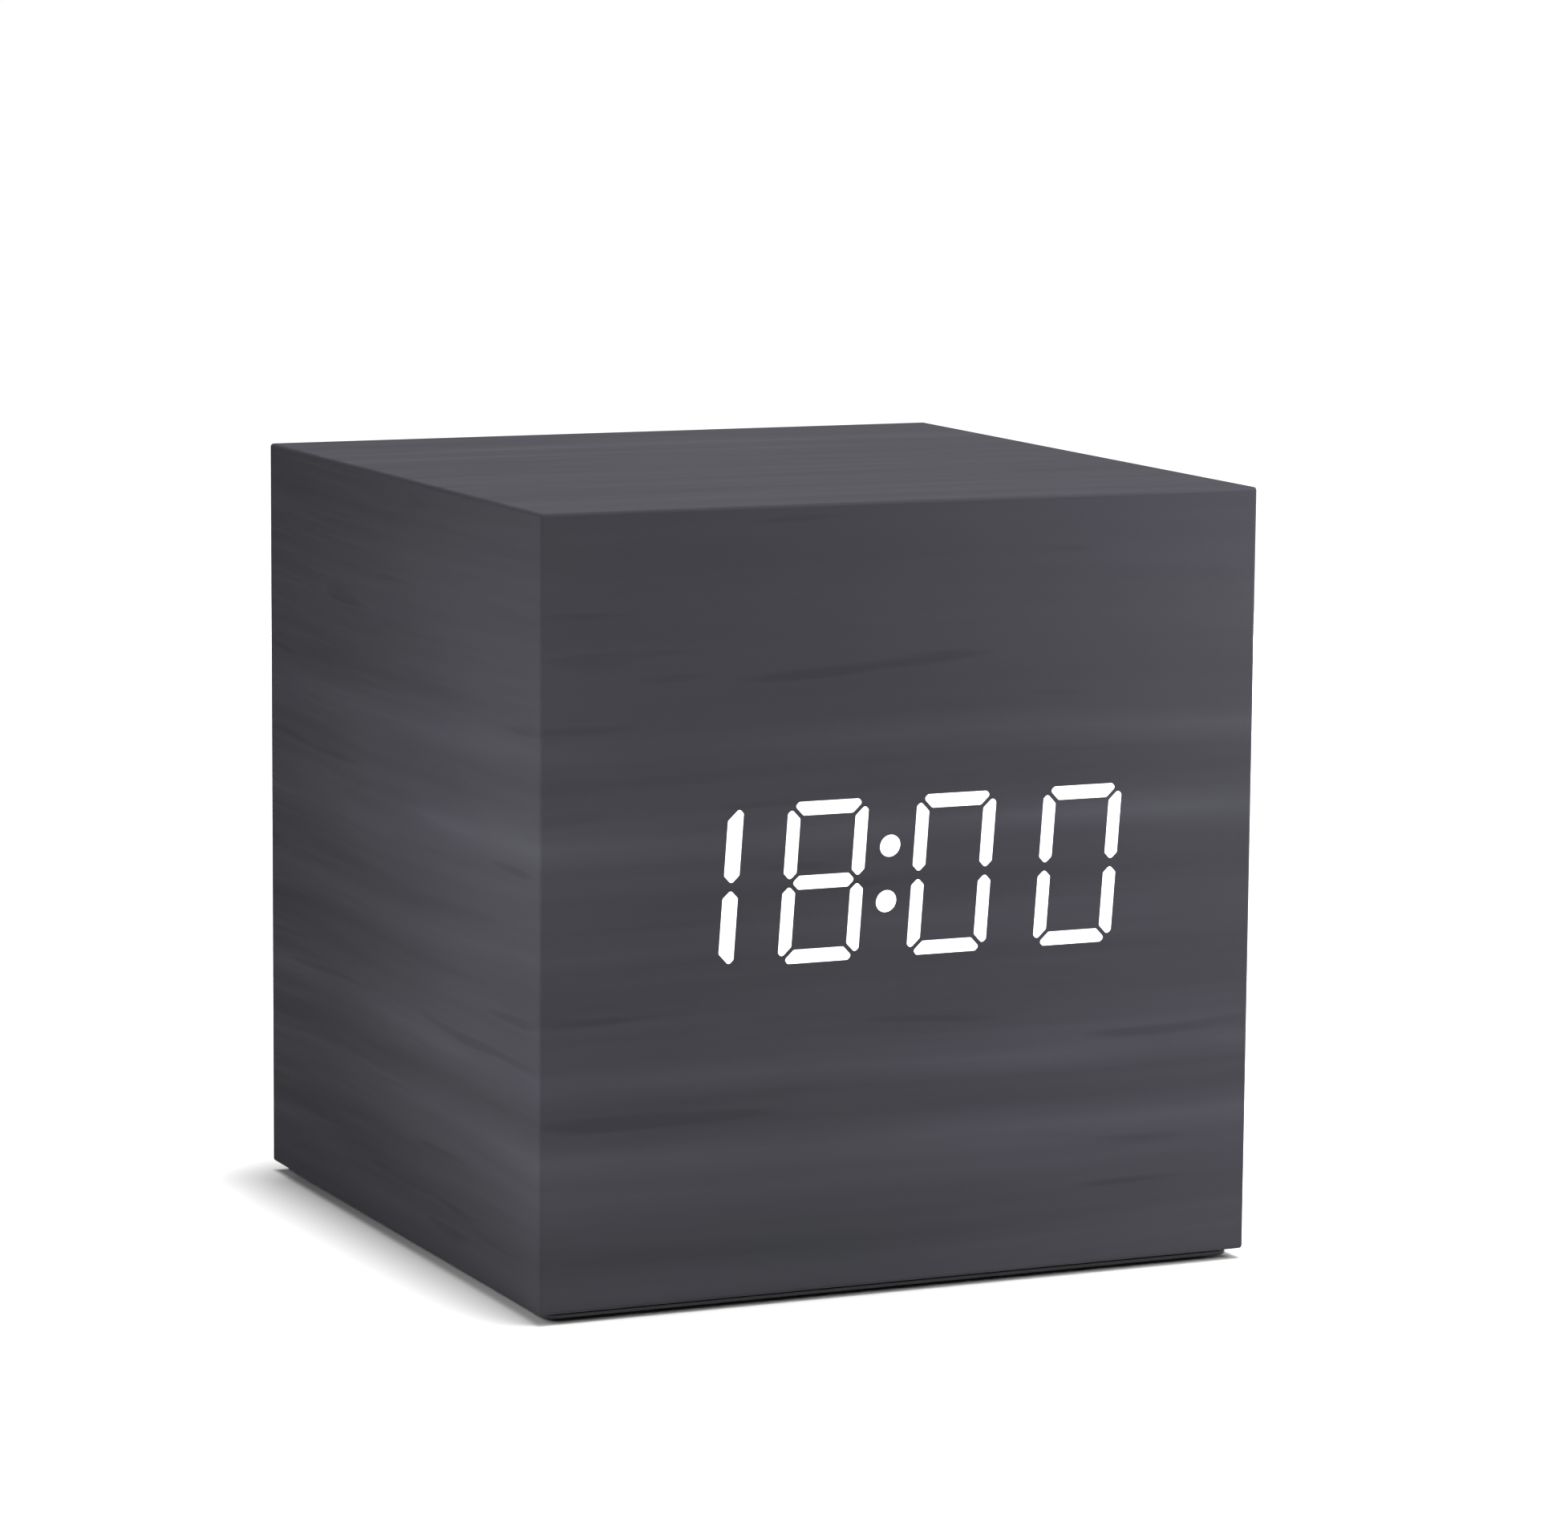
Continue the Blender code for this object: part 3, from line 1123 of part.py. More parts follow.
def build_inner_parts():
    """What is soldered on the inner side of the main board."""
    back = MAIN_FRONT - SOLDER_GAP
    x, z = CHIP_PLACE[0], MAIN_CENTRE_HEIGHT + CHIP_PLACE[1]
    chip = add_part("clock_chip", box((x - CHIP_LENGTH / 2, back - CHIP_HEIGHT, z - CHIP_WIDTH / 2),
                                      (x + CHIP_LENGTH / 2, back, z + CHIP_WIDTH / 2)),
                    "black_plastic")
    pitch = CHIP_LENGTH / CHIP_LEG_COUNT
    half_reach = CHIP_WIDTH / 2 + CHIP_LEG_REACH
    fuse(chip, "legs", joined([
        box((leg - CHIP_LEG_WIDTH / 2, back - CHIP_HEIGHT / 2 - CHIP_LEG_THICK / 2, z - half_reach),
            (leg + CHIP_LEG_WIDTH / 2, back - CHIP_HEIGHT / 2 + CHIP_LEG_THICK / 2, z + half_reach))
        for leg in (x + (index - (CHIP_LEG_COUNT - 1) / 2) * pitch
                    for index in range(CHIP_LEG_COUNT))]))
    x, z = CRYSTAL_PLACE[0], MAIN_CENTRE_HEIGHT + CRYSTAL_PLACE[1]
    y = back - CRYSTAL_DIAMETER / 2
    add_part("quartz_crystal", rod(CRYSTAL_DIAMETER, (x - CRYSTAL_LENGTH / 2, y, z),
                                   (x + CRYSTAL_LENGTH / 2, y, z), SMALL_SIDES), "steel")
    radius, hole = BUZZER_DIAMETER / 2, BUZZER_HOLE / 2
    profile = [(0, BUZZER_HEIGHT - BUZZER_HOLE_DEPTH), (hole, BUZZER_HEIGHT - BUZZER_HOLE_DEPTH),
               (hole, BUZZER_HEIGHT), (radius - BUZZER_ROUND, BUZZER_HEIGHT),
               (radius, BUZZER_HEIGHT - BUZZER_ROUND), (radius, 0), (0, 0)]
    x, z = BUZZER_PLACE[0], MAIN_CENTRE_HEIGHT + BUZZER_PLACE[1]
    turned("buzzer", profile, "black_plastic", Matrix.Translation((x, back, z)) @ TO_FRONT)


# Wiring inside the case

def build_ribbon():
    """A flat cable that sags between the sockets of the two boards."""
    start = DISPLAY_BOARD_BACK + SOCKET_DEEP + CLEARANCE
    end = MAIN_FRONT - SOCKET_DEEP - CLEARANCE
    bm = bmesh.new()
    rows = []
    for step in range(RIBBON_STEPS + 1):
        share = step / RIBBON_STEPS
        y = start + (end - start) * share
        z = RIBBON_HEIGHT - RIBBON_SAG * math.sin(math.pi * share) ** 2
        rows.append([bm.verts.new((DISPLAY_OFFSET + side * RIBBON_WIDTH / 2, y, z))
                     for side in (-1, 1)])
    for near, far in zip(rows, rows[1:]):
        bm.faces.new((near[0], near[1], far[1], far[0]))
    part = add_part("display_ribbon_cable", mesh_from(bm), "grey_ribbon")
    solid = part.modifiers.new("thickness", "SOLIDIFY")
    solid.thickness = RIBBON_THICK
    solid.offset = 0


def build_lead(name, kind, start, end):
    """A wire that rises from a contact's tab and runs back to the main board."""
    start, end = Vector(start), Vector(end)
    rise = start + Vector((0, 0, LEAD_RISE))
    reach = end - Vector((0, (end.y - start.y) / 2, 0))
    curve = bpy.data.curves.new(name, "CURVE")
    curve.dimensions = "3D"
    curve.bevel_depth = LEAD_DIAMETER / 2
    curve.bevel_resolution = 2
    curve.use_fill_caps = True
    spline = curve.splines.new("POLY")
    spline.points.add(LEAD_STEPS)
    for step, point in enumerate(spline.points):
        t = step / LEAD_STEPS
        place = ((1 - t) ** 3 * start + 3 * (1 - t) ** 2 * t * rise
                 + 3 * (1 - t) * t ** 2 * reach + t ** 3 * end)
        point.co = (*place, 1)
    add_part(name, mesh_of_curve(curve, Matrix.Identity(4)), kind)


def build_leads():
    kinds = (("battery_lead_red", "red_wire"), ("battery_lead_black", "black_wire"))
    height = MAIN_CENTRE_HEIGHT - MAIN_HEIGHT / 2 + LEAD_ABOVE_EDGE
    for (name, kind), sign, (x, y) in zip(kinds, (-1, 1), solder_tab_places()):
        start = (x, y, TUB_TOP + SOLDER_TAB_RISE + CLEARANCE)
        end = (sign * LEAD_SPREAD, MAIN_FRONT - CLEARANCE, height)
        build_lead(name, kind, start, end)


clear_scene()
parts_collection = new_collection("wooden_alarm_clock")
cutters_collection = new_collection("cutters")
build_case()
build_corner_blocks()
build_base_plate()
build_base_screws()
build_feet()
build_battery_door()
build_cells()
build_contacts()
build_reflector()
build_light_guides()
build_display_board()
build_main_board()
build_buttons()
build_sound_switch()
build_jack()
build_microphone()
build_inner_parts()
build_ribbon()
build_leads()
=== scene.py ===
import math

import bmesh
import bpy
from mathutils import Euler, Matrix, Vector
from mathutils.geometry import interpolate_bezier


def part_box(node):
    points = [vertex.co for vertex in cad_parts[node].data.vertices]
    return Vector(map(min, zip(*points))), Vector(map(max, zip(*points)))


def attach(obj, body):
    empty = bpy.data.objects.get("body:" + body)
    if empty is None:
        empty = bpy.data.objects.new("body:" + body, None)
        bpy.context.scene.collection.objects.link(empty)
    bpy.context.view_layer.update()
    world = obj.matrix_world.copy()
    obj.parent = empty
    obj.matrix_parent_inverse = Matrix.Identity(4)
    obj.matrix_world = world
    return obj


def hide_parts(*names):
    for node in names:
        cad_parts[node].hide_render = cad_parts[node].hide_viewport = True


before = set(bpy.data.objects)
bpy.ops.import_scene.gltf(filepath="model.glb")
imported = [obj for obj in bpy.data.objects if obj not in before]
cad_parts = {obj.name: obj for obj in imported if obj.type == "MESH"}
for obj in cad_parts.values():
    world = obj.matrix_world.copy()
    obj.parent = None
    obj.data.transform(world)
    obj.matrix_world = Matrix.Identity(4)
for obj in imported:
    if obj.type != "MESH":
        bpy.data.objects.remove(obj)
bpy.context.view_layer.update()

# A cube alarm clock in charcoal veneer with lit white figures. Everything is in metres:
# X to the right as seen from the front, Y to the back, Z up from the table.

quarterTurn = math.radians(90)
toFront = Matrix.Rotation(quarterTurn, 4, "X")  # a piece made along Z then points to -Y
mergeGap = 0.000002
oneFace = math.radians(1)  # faces that turn by less are one
squareLimit = 0.999  # how much of a normal lies along an axis when the face is square to it
corners = ("front_left", "front_right", "back_left", "back_right")
buttonNames = ("set", "up", "down")


# Small helpers for meshes

def middle(node):
    low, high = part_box(node)
    return (low + high) / 2


def newPiece(name, mesh):
    piece = bpy.data.objects.new(name, mesh)
    mesh.name = name
    bpy.context.scene.collection.objects.link(piece)
    return piece


def meshFrom(bm, name="shape"):
    mesh = bpy.data.meshes.new(name)
    bm.to_mesh(mesh)
    bm.free()
    return mesh


def bakeDown(piece):  # the mesh becomes what the modifiers make of it
    bpy.context.view_layer.update()
    result = bpy.data.meshes.new_from_object(
        piece.evaluated_get(bpy.context.evaluated_depsgraph_get()))
    piece.modifiers.clear()
    old, piece.data = piece.data, result
    bpy.data.meshes.remove(old)
    result.name = piece.name


def finishPiece(piece, body, slotName, *nodes):
    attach(piece, body)
    if nodes:
        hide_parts(*nodes)


def shadeRound(mesh, angle=35):
    mesh.shade_smooth()
    mesh.set_sharp_from_angle(angle=math.radians(angle))


def boxMesh(low, high, place=Matrix()):
    low, high = Vector(low), Vector(high)
    bm = bmesh.new()
    size = Matrix.Diagonal((*(high - low), 1))
    bmesh.ops.create_cube(bm, size=1, matrix=Matrix.Translation((low + high) / 2) @ size)
    mesh = meshFrom(bm)
    mesh.transform(place)
    return mesh


def turnedMesh(profile, sides=64, place=Matrix()):  # profile: (radius, height) down the outer side
    bm = bmesh.new()
    rim = [bm.verts.new((radius, 0, height)) for radius, height in profile]
    edges = [bm.edges.new(pair) for pair in zip(rim, rim[1:])]
    bmesh.ops.spin(bm, geom=rim + edges, cent=(0, 0, 0), axis=(0, 0, 1), angle=math.tau,
                   steps=sides, use_duplicate=False)
    bmesh.ops.remove_doubles(bm, verts=bm.verts, dist=mergeGap)
    bmesh.ops.recalc_face_normals(bm, faces=bm.faces)
    mesh = meshFrom(bm)
    shadeRound(mesh)
    mesh.transform(place)
    return mesh


def domed(radius, height, base=0.0, steps=6):  # the profile of a dome, from its top outwards
    return [(radius * math.sin(quarterTurn * step / steps),
             base + height * math.cos(quarterTurn * step / steps)) for step in range(steps + 1)]


def eased(points, radius, steps=4):  # an open outline with its inner corners rounded
    soft = [tuple(points[0])]
    for before, corner, after in zip(points, points[1:], points[2:]):
        corner = Vector(corner)
        back, onward = Vector(before) - corner, Vector(after) - corner
        reach = min(radius, back.length / 2, onward.length / 2)
        start = corner + back.normalized() * reach
        end = corner + onward.normalized() * reach
        for step in range(steps + 1):
            share = step / steps
            soft.append(tuple(start * (1 - share) ** 2 + corner * 2 * share * (1 - share)
                              + end * share ** 2))
    soft.append(tuple(points[-1]))
    return soft


def lineMesh(lines, closed=False):
    bm = bmesh.new()
    for line in lines:
        points = [bm.verts.new(point) for point in line]
        for pair in zip(points, points[1:] + (points[:1] if closed else [])):
            bm.edges.new(pair)
    return meshFrom(bm)


def pointMesh(name, places):  # places: (location, turn) for each point
    mesh = bpy.data.meshes.new(name)
    mesh.from_pydata([location for location, turn in places], [], [])
    turns = mesh.attributes.new("turn", "FLOAT_VECTOR", "POINT")
    for index, (location, turn) in enumerate(places):
        turns.data[index].vector = turn
    return mesh


def takeMesh(piece):  # only the mesh is kept
    mesh = piece.data.copy()
    bpy.data.objects.remove(piece)
    return mesh


def addMeshes(piece, meshes):  # joins them to the piece, and gives the number of its own faces
    old = piece.data
    ownFaces = len(old.polygons)
    bm = bmesh.new()
    for mesh in (old, *meshes):
        bm.from_mesh(mesh)
    piece.data = meshFrom(bm)
    for mesh in (old, *meshes):
        bpy.data.meshes.remove(mesh)
    return ownFaces


def carve(piece, meshes, operation="DIFFERENCE"):
    cutters = []
    for mesh in meshes:
        cutter = newPiece(piece.name + "Cutter", mesh)
        modifier = piece.modifiers.new("carve", "BOOLEAN")
        modifier.operation = operation
        modifier.solver = "EXACT"
        modifier.object = cutter
        cutters.append(cutter)
    bakeDown(piece)
    for cutter in cutters:
        bpy.data.objects.remove(cutter)


def roundEdges(piece, width, steps=2, angle=30):
    bevel = piece.modifiers.new("roundEdges", "BEVEL")
    bevel.width = width
    bevel.segments = steps
    bevel.angle_limit = math.radians(angle)
    bakeDown(piece)


def softCopy(name, node, width, steps=2):  # a merged copy of a CAD node with rounded edges
    bm = bmesh.new()
    bm.from_mesh(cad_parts[node].data)
    bmesh.ops.remove_doubles(bm, verts=bm.verts, dist=mergeGap)
    bmesh.ops.dissolve_limit(bm, angle_limit=oneFace, verts=bm.verts, edges=bm.edges)
    piece = newPiece(name, meshFrom(bm))
    if width:
        roundEdges(piece, width, steps)
    shadeRound(piece.data)
    keepFlat(piece)
    return piece


def keepFlat(piece):  # wide faces square to the axes stay flat, so bevels don't tint them
    for face in piece.data.polygons:
        face.use_smooth = max(abs(part) for part in face.normal) < squareLimit


def setFinish(piece, *materials):
    piece.data.materials.clear()
    for material in materials:
        piece.data.materials.append(material)


def finishWhere(piece, index, test):  # faces that pass the test take another of the finishes
    for face in piece.data.polygons:
        if test(face.center, face.normal):
            face.material_index = index


# Node trees: shaders and geometry alike are built with these

def addNode(tree, kind, sockets=None, **settings):
    node = tree.nodes.new(kind)
    for name, value in settings.items():
        setattr(node, name, value)
    for name, value in (sockets or {}).items():
        if isinstance(value, bpy.types.NodeSocket):
            tree.links.new(value, node.inputs[name])
        else:
            node.inputs[name].default_value = value
    return node


def calc(tree, operation, first, second=0.0):
    return addNode(tree, "ShaderNodeMath", {0: first, 1: second}, operation=operation).outputs[0]


def vectorCalc(tree, operation, first, second=None, result="Vector"):
    sockets = {0: first} if second is None else {0: first, 1: second}
    return addNode(tree, "ShaderNodeVectorMath", sockets, operation=operation).outputs[result]


def outputOf(tree, kind, sockets=None, **settings):  # the first output of a new node
    return addNode(tree, kind, sockets, **settings).outputs[0]


def readAttribute(tree, name, kind="FLOAT_VECTOR"):
    return addNode(tree, "GeometryNodeInputNamedAttribute", {"Name": name},
                   data_type=kind).outputs["Attribute"]


def newTree(name, inputs):
    tree = bpy.data.node_groups.new(name, "GeometryNodeTree")
    tree.interface.new_socket("Geometry", in_out="INPUT", socket_type="NodeSocketGeometry")
    for label, kind in inputs.items():
        tree.interface.new_socket(label, in_out="INPUT", socket_type="NodeSocket" + kind)
    tree.interface.new_socket("Geometry", in_out="OUTPUT", socket_type="NodeSocketGeometry")
    return tree, addNode(tree, "NodeGroupInput").outputs


def endTree(tree, geometry, given):
    whole = outputOf(tree, "GeometryNodeRealizeInstances", {"Geometry": geometry})
    painted = outputOf(tree, "GeometryNodeSetMaterial",
                       {"Geometry": whole, "Material": given["Material"]})
    if "Second Material" in given:  # faces marked in the copied mesh
        painted = outputOf(tree, "GeometryNodeSetMaterial", {
            "Geometry": painted, "Selection": readAttribute(tree, "secondFinish", "BOOLEAN"),
            "Material": given["Second Material"]})
    addNode(tree, "NodeGroupOutput", {0: painted})
    return tree


def growTree(piece, tree, values):  # runs a geometry tree on a piece and keeps the plain mesh
    modifier = piece.modifiers.new(tree.name, "NODES")
    modifier.node_group = tree
    for item in tree.interface.items_tree:
        if item.in_out == "INPUT" and item.name in values:
            modifier[item.identifier] = values[item.name]
    bakeDown(piece)


def copiesTree():  # a copied object on every point, turned as the point's own attribute says
    tree, given = newTree("placeCopies", {"Copy": "Object", "Material": "Material",
                                          "Second Material": "Material"})
    copy = addNode(tree, "GeometryNodeObjectInfo", {"Object": given["Copy"]}).outputs["Geometry"]
    placed = outputOf(tree, "GeometryNodeInstanceOnPoints", {
        "Points": given["Geometry"], "Instance": copy,
        "Rotation": readAttribute(tree, "turn")})
    return endTree(tree, placed, given)


def placeCopies(name, copy, places, material, second=None, marked=None):
    if marked:
        marks = copy.attributes.new("secondFinish", "BOOLEAN", "FACE")
        for face in copy.polygons:
            marks.data[face.index].value = marked(face.center, face.normal)
    source = newPiece(name + "Copy", copy)
    piece = newPiece(name, pointMesh(name, places))
    growTree(piece, trees["copies"], {"Copy": source, "Material": material,
                                      "Second Material": second or material})
    bpy.data.objects.remove(source)
    shadeRound(piece.data)
    return piece


def strokesTree():  # flat closed outlines become leaning bars with rounded corners
    tree, given = newTree("figureStrokes", {
        "Corner Radius": "Float", "Corner Steps": "Int", "Thickness": "Float",
        "Lean Slope": "Float", "Place": "Vector", "Material": "Material"})
    lines = outputOf(tree, "GeometryNodeMeshToCurve", {"Mesh": given["Geometry"]})
    soft = outputOf(tree, "GeometryNodeFilletCurve", {
        "Curve": lines, "Radius": given["Corner Radius"], "Count": given["Corner Steps"],
        "Limit Radius": True}, mode="POLY")
    flat = outputOf(tree, "GeometryNodeFillCurve", {"Curve": soft}, mode="NGONS")
    raised = outputOf(tree, "GeometryNodeExtrudeMesh", {
        "Mesh": flat, "Offset Scale": given["Thickness"], "Individual": False})
    under = outputOf(tree, "GeometryNodeFlipFaces", {"Mesh": flat})
    closed = addNode(tree, "GeometryNodeJoinGeometry")
    for part in (raised, under):
        tree.links.new(part, closed.inputs[0])
    welded = outputOf(tree, "GeometryNodeMergeByDistance", {
        "Geometry": closed.outputs[0], "Distance": mergeGap})
    place = outputOf(tree, "GeometryNodeInputPosition")
    height = addNode(tree, "ShaderNodeSeparateXYZ", {0: place}).outputs["Y"]
    lean = calc(tree, "MULTIPLY", height, given["Lean Slope"])
    shift = outputOf(tree, "ShaderNodeCombineXYZ", {"X": lean})
    leaning = outputOf(tree, "GeometryNodeSetPosition", {
        "Geometry": welded, "Offset": shift})
    upright = outputOf(tree, "GeometryNodeTransform", {
        "Geometry": leaning, "Translation": given["Place"],
        "Rotation": Euler((quarterTurn, 0, 0))})
    return endTree(tree, upright, given)


def wiresTree():  # a round section swept along each line of the mesh
    tree, given = newTree("sweptWires", {"Radius": "Float", "Sides": "Int",
                                         "Material": "Material"})
    lines = outputOf(tree, "GeometryNodeMeshToCurve", {"Mesh": given["Geometry"]})
    section = outputOf(tree, "GeometryNodeCurvePrimitiveCircle", {
        "Radius": given["Radius"], "Resolution": given["Sides"]})
    swept = outputOf(tree, "GeometryNodeCurveToMesh", {
        "Curve": lines, "Profile Curve": section, "Fill Caps": True})
    return endTree(tree, swept, given)


def springsTree():  # a conical spring on every point
    tree, given = newTree("conicalSprings", {
        "Turns": "Float", "Wide Radius": "Float", "Narrow Radius": "Float", "Length": "Float",
        "Wire Radius": "Float", "Coil Steps": "Int", "Wire Sides": "Int", "Material": "Material"})
    coil = outputOf(tree, "GeometryNodeCurveSpiral", {
        "Resolution": given["Coil Steps"], "Rotations": given["Turns"],
        "Start Radius": given["Wide Radius"],
        "End Radius": given["Narrow Radius"], "Height": given["Length"]})
    section = outputOf(tree, "GeometryNodeCurvePrimitiveCircle", {
        "Radius": given["Wire Radius"], "Resolution": given["Wire Sides"]})
    wire = outputOf(tree, "GeometryNodeCurveToMesh", {
        "Curve": coil, "Profile Curve": section, "Fill Caps": True})
    placed = outputOf(tree, "GeometryNodeInstanceOnPoints", {
        "Points": given["Geometry"], "Instance": wire,
        "Rotation": readAttribute(tree, "turn")})
    return endTree(tree, placed, given)


# Materials

noiseSpan = (0.3, 0.7)  # nearly all values of a noise lie between these


def newMaterial(name, **constants):
    material = bpy.data.materials.new(name)
    material.use_nodes = True
    tree = material.node_tree
    shader = tree.nodes["Principled BSDF"]
    for label, value in constants.items():
        shader.inputs[label.replace("_", " ")].default_value = value
    place = addNode(tree, "ShaderNodeTexCoord").outputs["Object"]
    return material, tree, shader, place


def noise(tree, place, scale, detail=2.0, roughness=0.5, distortion=0.0):
    if isinstance(scale, tuple):  # a pattern with its own scale along each axis
        place = outputOf(tree, "ShaderNodeMapping", {"Vector": place, "Scale": scale})
        scale = 1.0
    return addNode(tree, "ShaderNodeTexNoise", {
        "Vector": place, "Scale": scale, "Detail": detail, "Roughness": roughness,
        "Distortion": distortion}).outputs["Fac"]


def ranged(tree, value, low, high, newLow=0.0, newHigh=1.0):
    return outputOf(tree, "ShaderNodeMapRange", {
        "Value": value, "From Min": low, "From Max": high, "To Min": newLow,
        "To Max": newHigh})


def blendColour(tree, share, first, second, blend="MIX"):
    node = addNode(tree, "ShaderNodeMix", data_type="RGBA", blend_type=blend)
    sockets = {"Factor_Float": share, "A_Color": first, "B_Color": second}
    for socket in node.inputs:
        value = sockets.get(socket.identifier)
        if isinstance(value, bpy.types.NodeSocket):
            tree.links.new(value, socket)
        elif value is not None:
            socket.default_value = (*value, 1) if isinstance(value, tuple) else value
    return next(socket for socket in node.outputs if socket.identifier == "Result_Color")


def tinted(colour, share):
    return tuple(share * part for part in colour)


def dress(tree, shader, colour, roughness, height, bump):  # bump: its distance and strength
    tree.links.new(colour, shader.inputs["Base Color"])
    if roughness is not None:
        tree.links.new(roughness, shader.inputs["Roughness"])
    normal = outputOf(tree, "ShaderNodeBump", {
        "Height": height, "Distance": bump[0], "Strength": bump[1]})
    tree.links.new(normal, shader.inputs["Normal"])


veneerLook = {
    "dark": (0.0400, 0.0400, 0.0455), "light": (0.0790, 0.0760, 0.0905),
    "greenish": (0.99, 1.02, 1.01), "purplish": (1.01, 0.99, 1.015),
    "tintScale": 24.0, "tintSpan": (0.42, 0.58),
    "sway": 0.007, "swayScale": (9, 9, 14), "rise": 0.012,
    "bandScale": (5, 5, 105), "bandBend": 0.3, "streakScale": (10, 10, 260),
    "fibreScale": (40, 40, 1500), "cloudScale": (16, 16, 38),
    "shares": (0.44, 0.28, 0.07, 0.21),  # of bands, streaks, fibres and clouds in the tone
    "topShare": 0.45,  # the grain is calmer on the top, and above the figures
    "calmHeights": (0.058, 0.074), "calmShare": 0.5,
    "paleBands": ((0.0675, 0.0028, 0.30), (0.0575, 0.0026, 0.42), (0.0305, 0.0024, 0.45),
                  (0.0225, 0.0030, 0.24)),  # height, half width and share of each
    "paleScale": (26, 26, 50), "paleSpan": (0.35, 0.6, 0.3, 1.0),
    "fleckScale": (30, 30, 360), "fleckSpan": (0.68, 0.76), "mark": (0.028, 0.028, 0.031),
    "markShare": 0.3, "roughness": (0.72, 0.84), "bump": (0.00006, 0.3),
}


def veneer():
    look = veneerLook
    material, tree, shader, place = newMaterial("charcoalVeneer", Specular_IOR_Level=0.05)
    axes = addNode(tree, "ShaderNodeSeparateXYZ", {0: place}).outputs
    flat = addNode(tree, "ShaderNodeAttribute", attribute_name="lyingFlat").outputs["Fac"]
    upright = calc(tree, "SUBTRACT", 1.0, flat)
    across = calc(tree, "ADD", calc(tree, "MULTIPLY", axes["Y"], flat),
                  calc(tree, "MULTIPLY", axes["Z"], upright))
    sway = calc(tree, "MULTIPLY", noise(tree, place, look["swayScale"], 1.0), look["sway"])
    slope = calc(tree, "MULTIPLY", axes["X"], look["rise"])
    bent = calc(tree, "SUBTRACT", calc(tree, "ADD", across, sway), slope)
    along = outputOf(tree, "ShaderNodeCombineXYZ", {
        "X": axes["X"], "Y": axes["Y"], "Z": bent})
    bands = noise(tree, along, look["bandScale"], distortion=look["bandBend"])
    streaks = noise(tree, along, look["streakScale"])
    fibres = noise(tree, along, look["fibreScale"])
    flecks = noise(tree, along, look["fleckScale"], 1.0)
    clouds = noise(tree, place, look["cloudScale"], 1.0)
    tone = 0.0
    for layer, share in zip((bands, streaks, fibres, clouds), look["shares"]):
        tone = calc(tree, "ADD", ranged(tree, layer, *noiseSpan, 0.0, share), tone)
    calm = calc(tree, "MULTIPLY", ranged(tree, flat, 0.0, 1.0, 1.0, look["topShare"]),
                ranged(tree, across, *look["calmHeights"], 1.0, look["calmShare"]))
    evened = calc(tree, "ADD", calc(tree, "MULTIPLY", calc(tree, "SUBTRACT", tone, 0.5), calm),
                  0.5)
    pale = 0.0
    for height, reach, share in look["paleBands"]:
        off = calc(tree, "ABSOLUTE", calc(tree, "SUBTRACT", bent, height))
        pale = calc(tree, "ADD", ranged(tree, off, 0.0, reach, share, 0.0), pale)
    uneven = ranged(tree, noise(tree, place, look["paleScale"], 1.0), *look["paleSpan"])
    lifted = calc(tree, "ADD", evened, calc(tree, "MULTIPLY", pale, uneven))
    wood = blendColour(tree, lifted, look["dark"], look["light"])
    patch = ranged(tree, noise(tree, place, look["tintScale"]), *look["tintSpan"])
    tint = blendColour(tree, patch, look["greenish"], look["purplish"])
    stained = blendColour(tree, 1.0, wood, tint, "MULTIPLY")
    marks = ranged(tree, flecks, *look["fleckSpan"], 0.0, look["markShare"])
    dress(tree, shader, blendColour(tree, marks, stained, look["mark"]),
          ranged(tree, fibres, *noiseSpan, *look["roughness"]),
          calc(tree, "ADD", fibres, streaks), look["bump"])
    return material


fibreLook = {  # dark and light colour of each
    "rawBoard": ((0.20, 0.125, 0.070), (0.34, 0.235, 0.145)),
    "blockWood": ((0.36, 0.25, 0.15), (0.56, 0.43, 0.29)),
    "layerScale": (240, 240, 500), "chipScale": 1900.0, "layerShare": 0.6,
    "bump": (0.0002, 0.5),
}


def fibreboard(name):
    look = fibreLook
    material, tree, shader, place = newMaterial(name, Roughness=0.85,
                                                Specular_IOR_Level=0.2)
    layers = noise(tree, place, look["layerScale"], 4.0, 0.6)
    chips = noise(tree, place, look["chipScale"], 3.0)
    share = look["layerShare"]
    tone = calc(tree, "ADD", ranged(tree, layers, *noiseSpan, 0.0, share),
                ranged(tree, chips, *noiseSpan, 0.0, 1 - share))
    dress(tree, shader, blendColour(tree, tone, *look[name]), None, chips, look["bump"])
    return material


mouldedLook = {  # colour, roughness, scale and depth of the grain, and constants of each
    "blackPlastic": ((0.013, 0.013, 0.015), 0.52, 2600.0, 0.00006, {}),
    "glossPlastic": ((0.014, 0.014, 0.016), 0.34, 900.0, 0.00001, {}),
    "footRubber": ((0.034, 0.034, 0.035), 0.82, 1500.0, 0.00009, {"Specular_IOR_Level": 0.3}),
    "diffuser": ((0.78, 0.80, 0.82), 0.4, 700.0, 0.00001, {"Transmission_Weight": 0.25}),
    "socketNylon": ((0.72, 0.68, 0.57), 0.45, 1400.0, 0.00001, {}),
    "diodeLens": ((0.78, 0.66, 0.22), 0.3, 900.0, 0.00001, {}),
    "tanCeramic": ((0.36, 0.24, 0.14), 0.4, 1500.0, 0.00001, {}),
    "redWire": ((0.50, 0.020, 0.018), 0.42, 1400.0, 0.00001, {}),
    "blackWire": ((0.014, 0.014, 0.014), 0.42, 1400.0, 0.00001, {}),
    "greyRibbon": ((0.40, 0.40, 0.42), 0.5, 1400.0, 0.00002, {}),
}
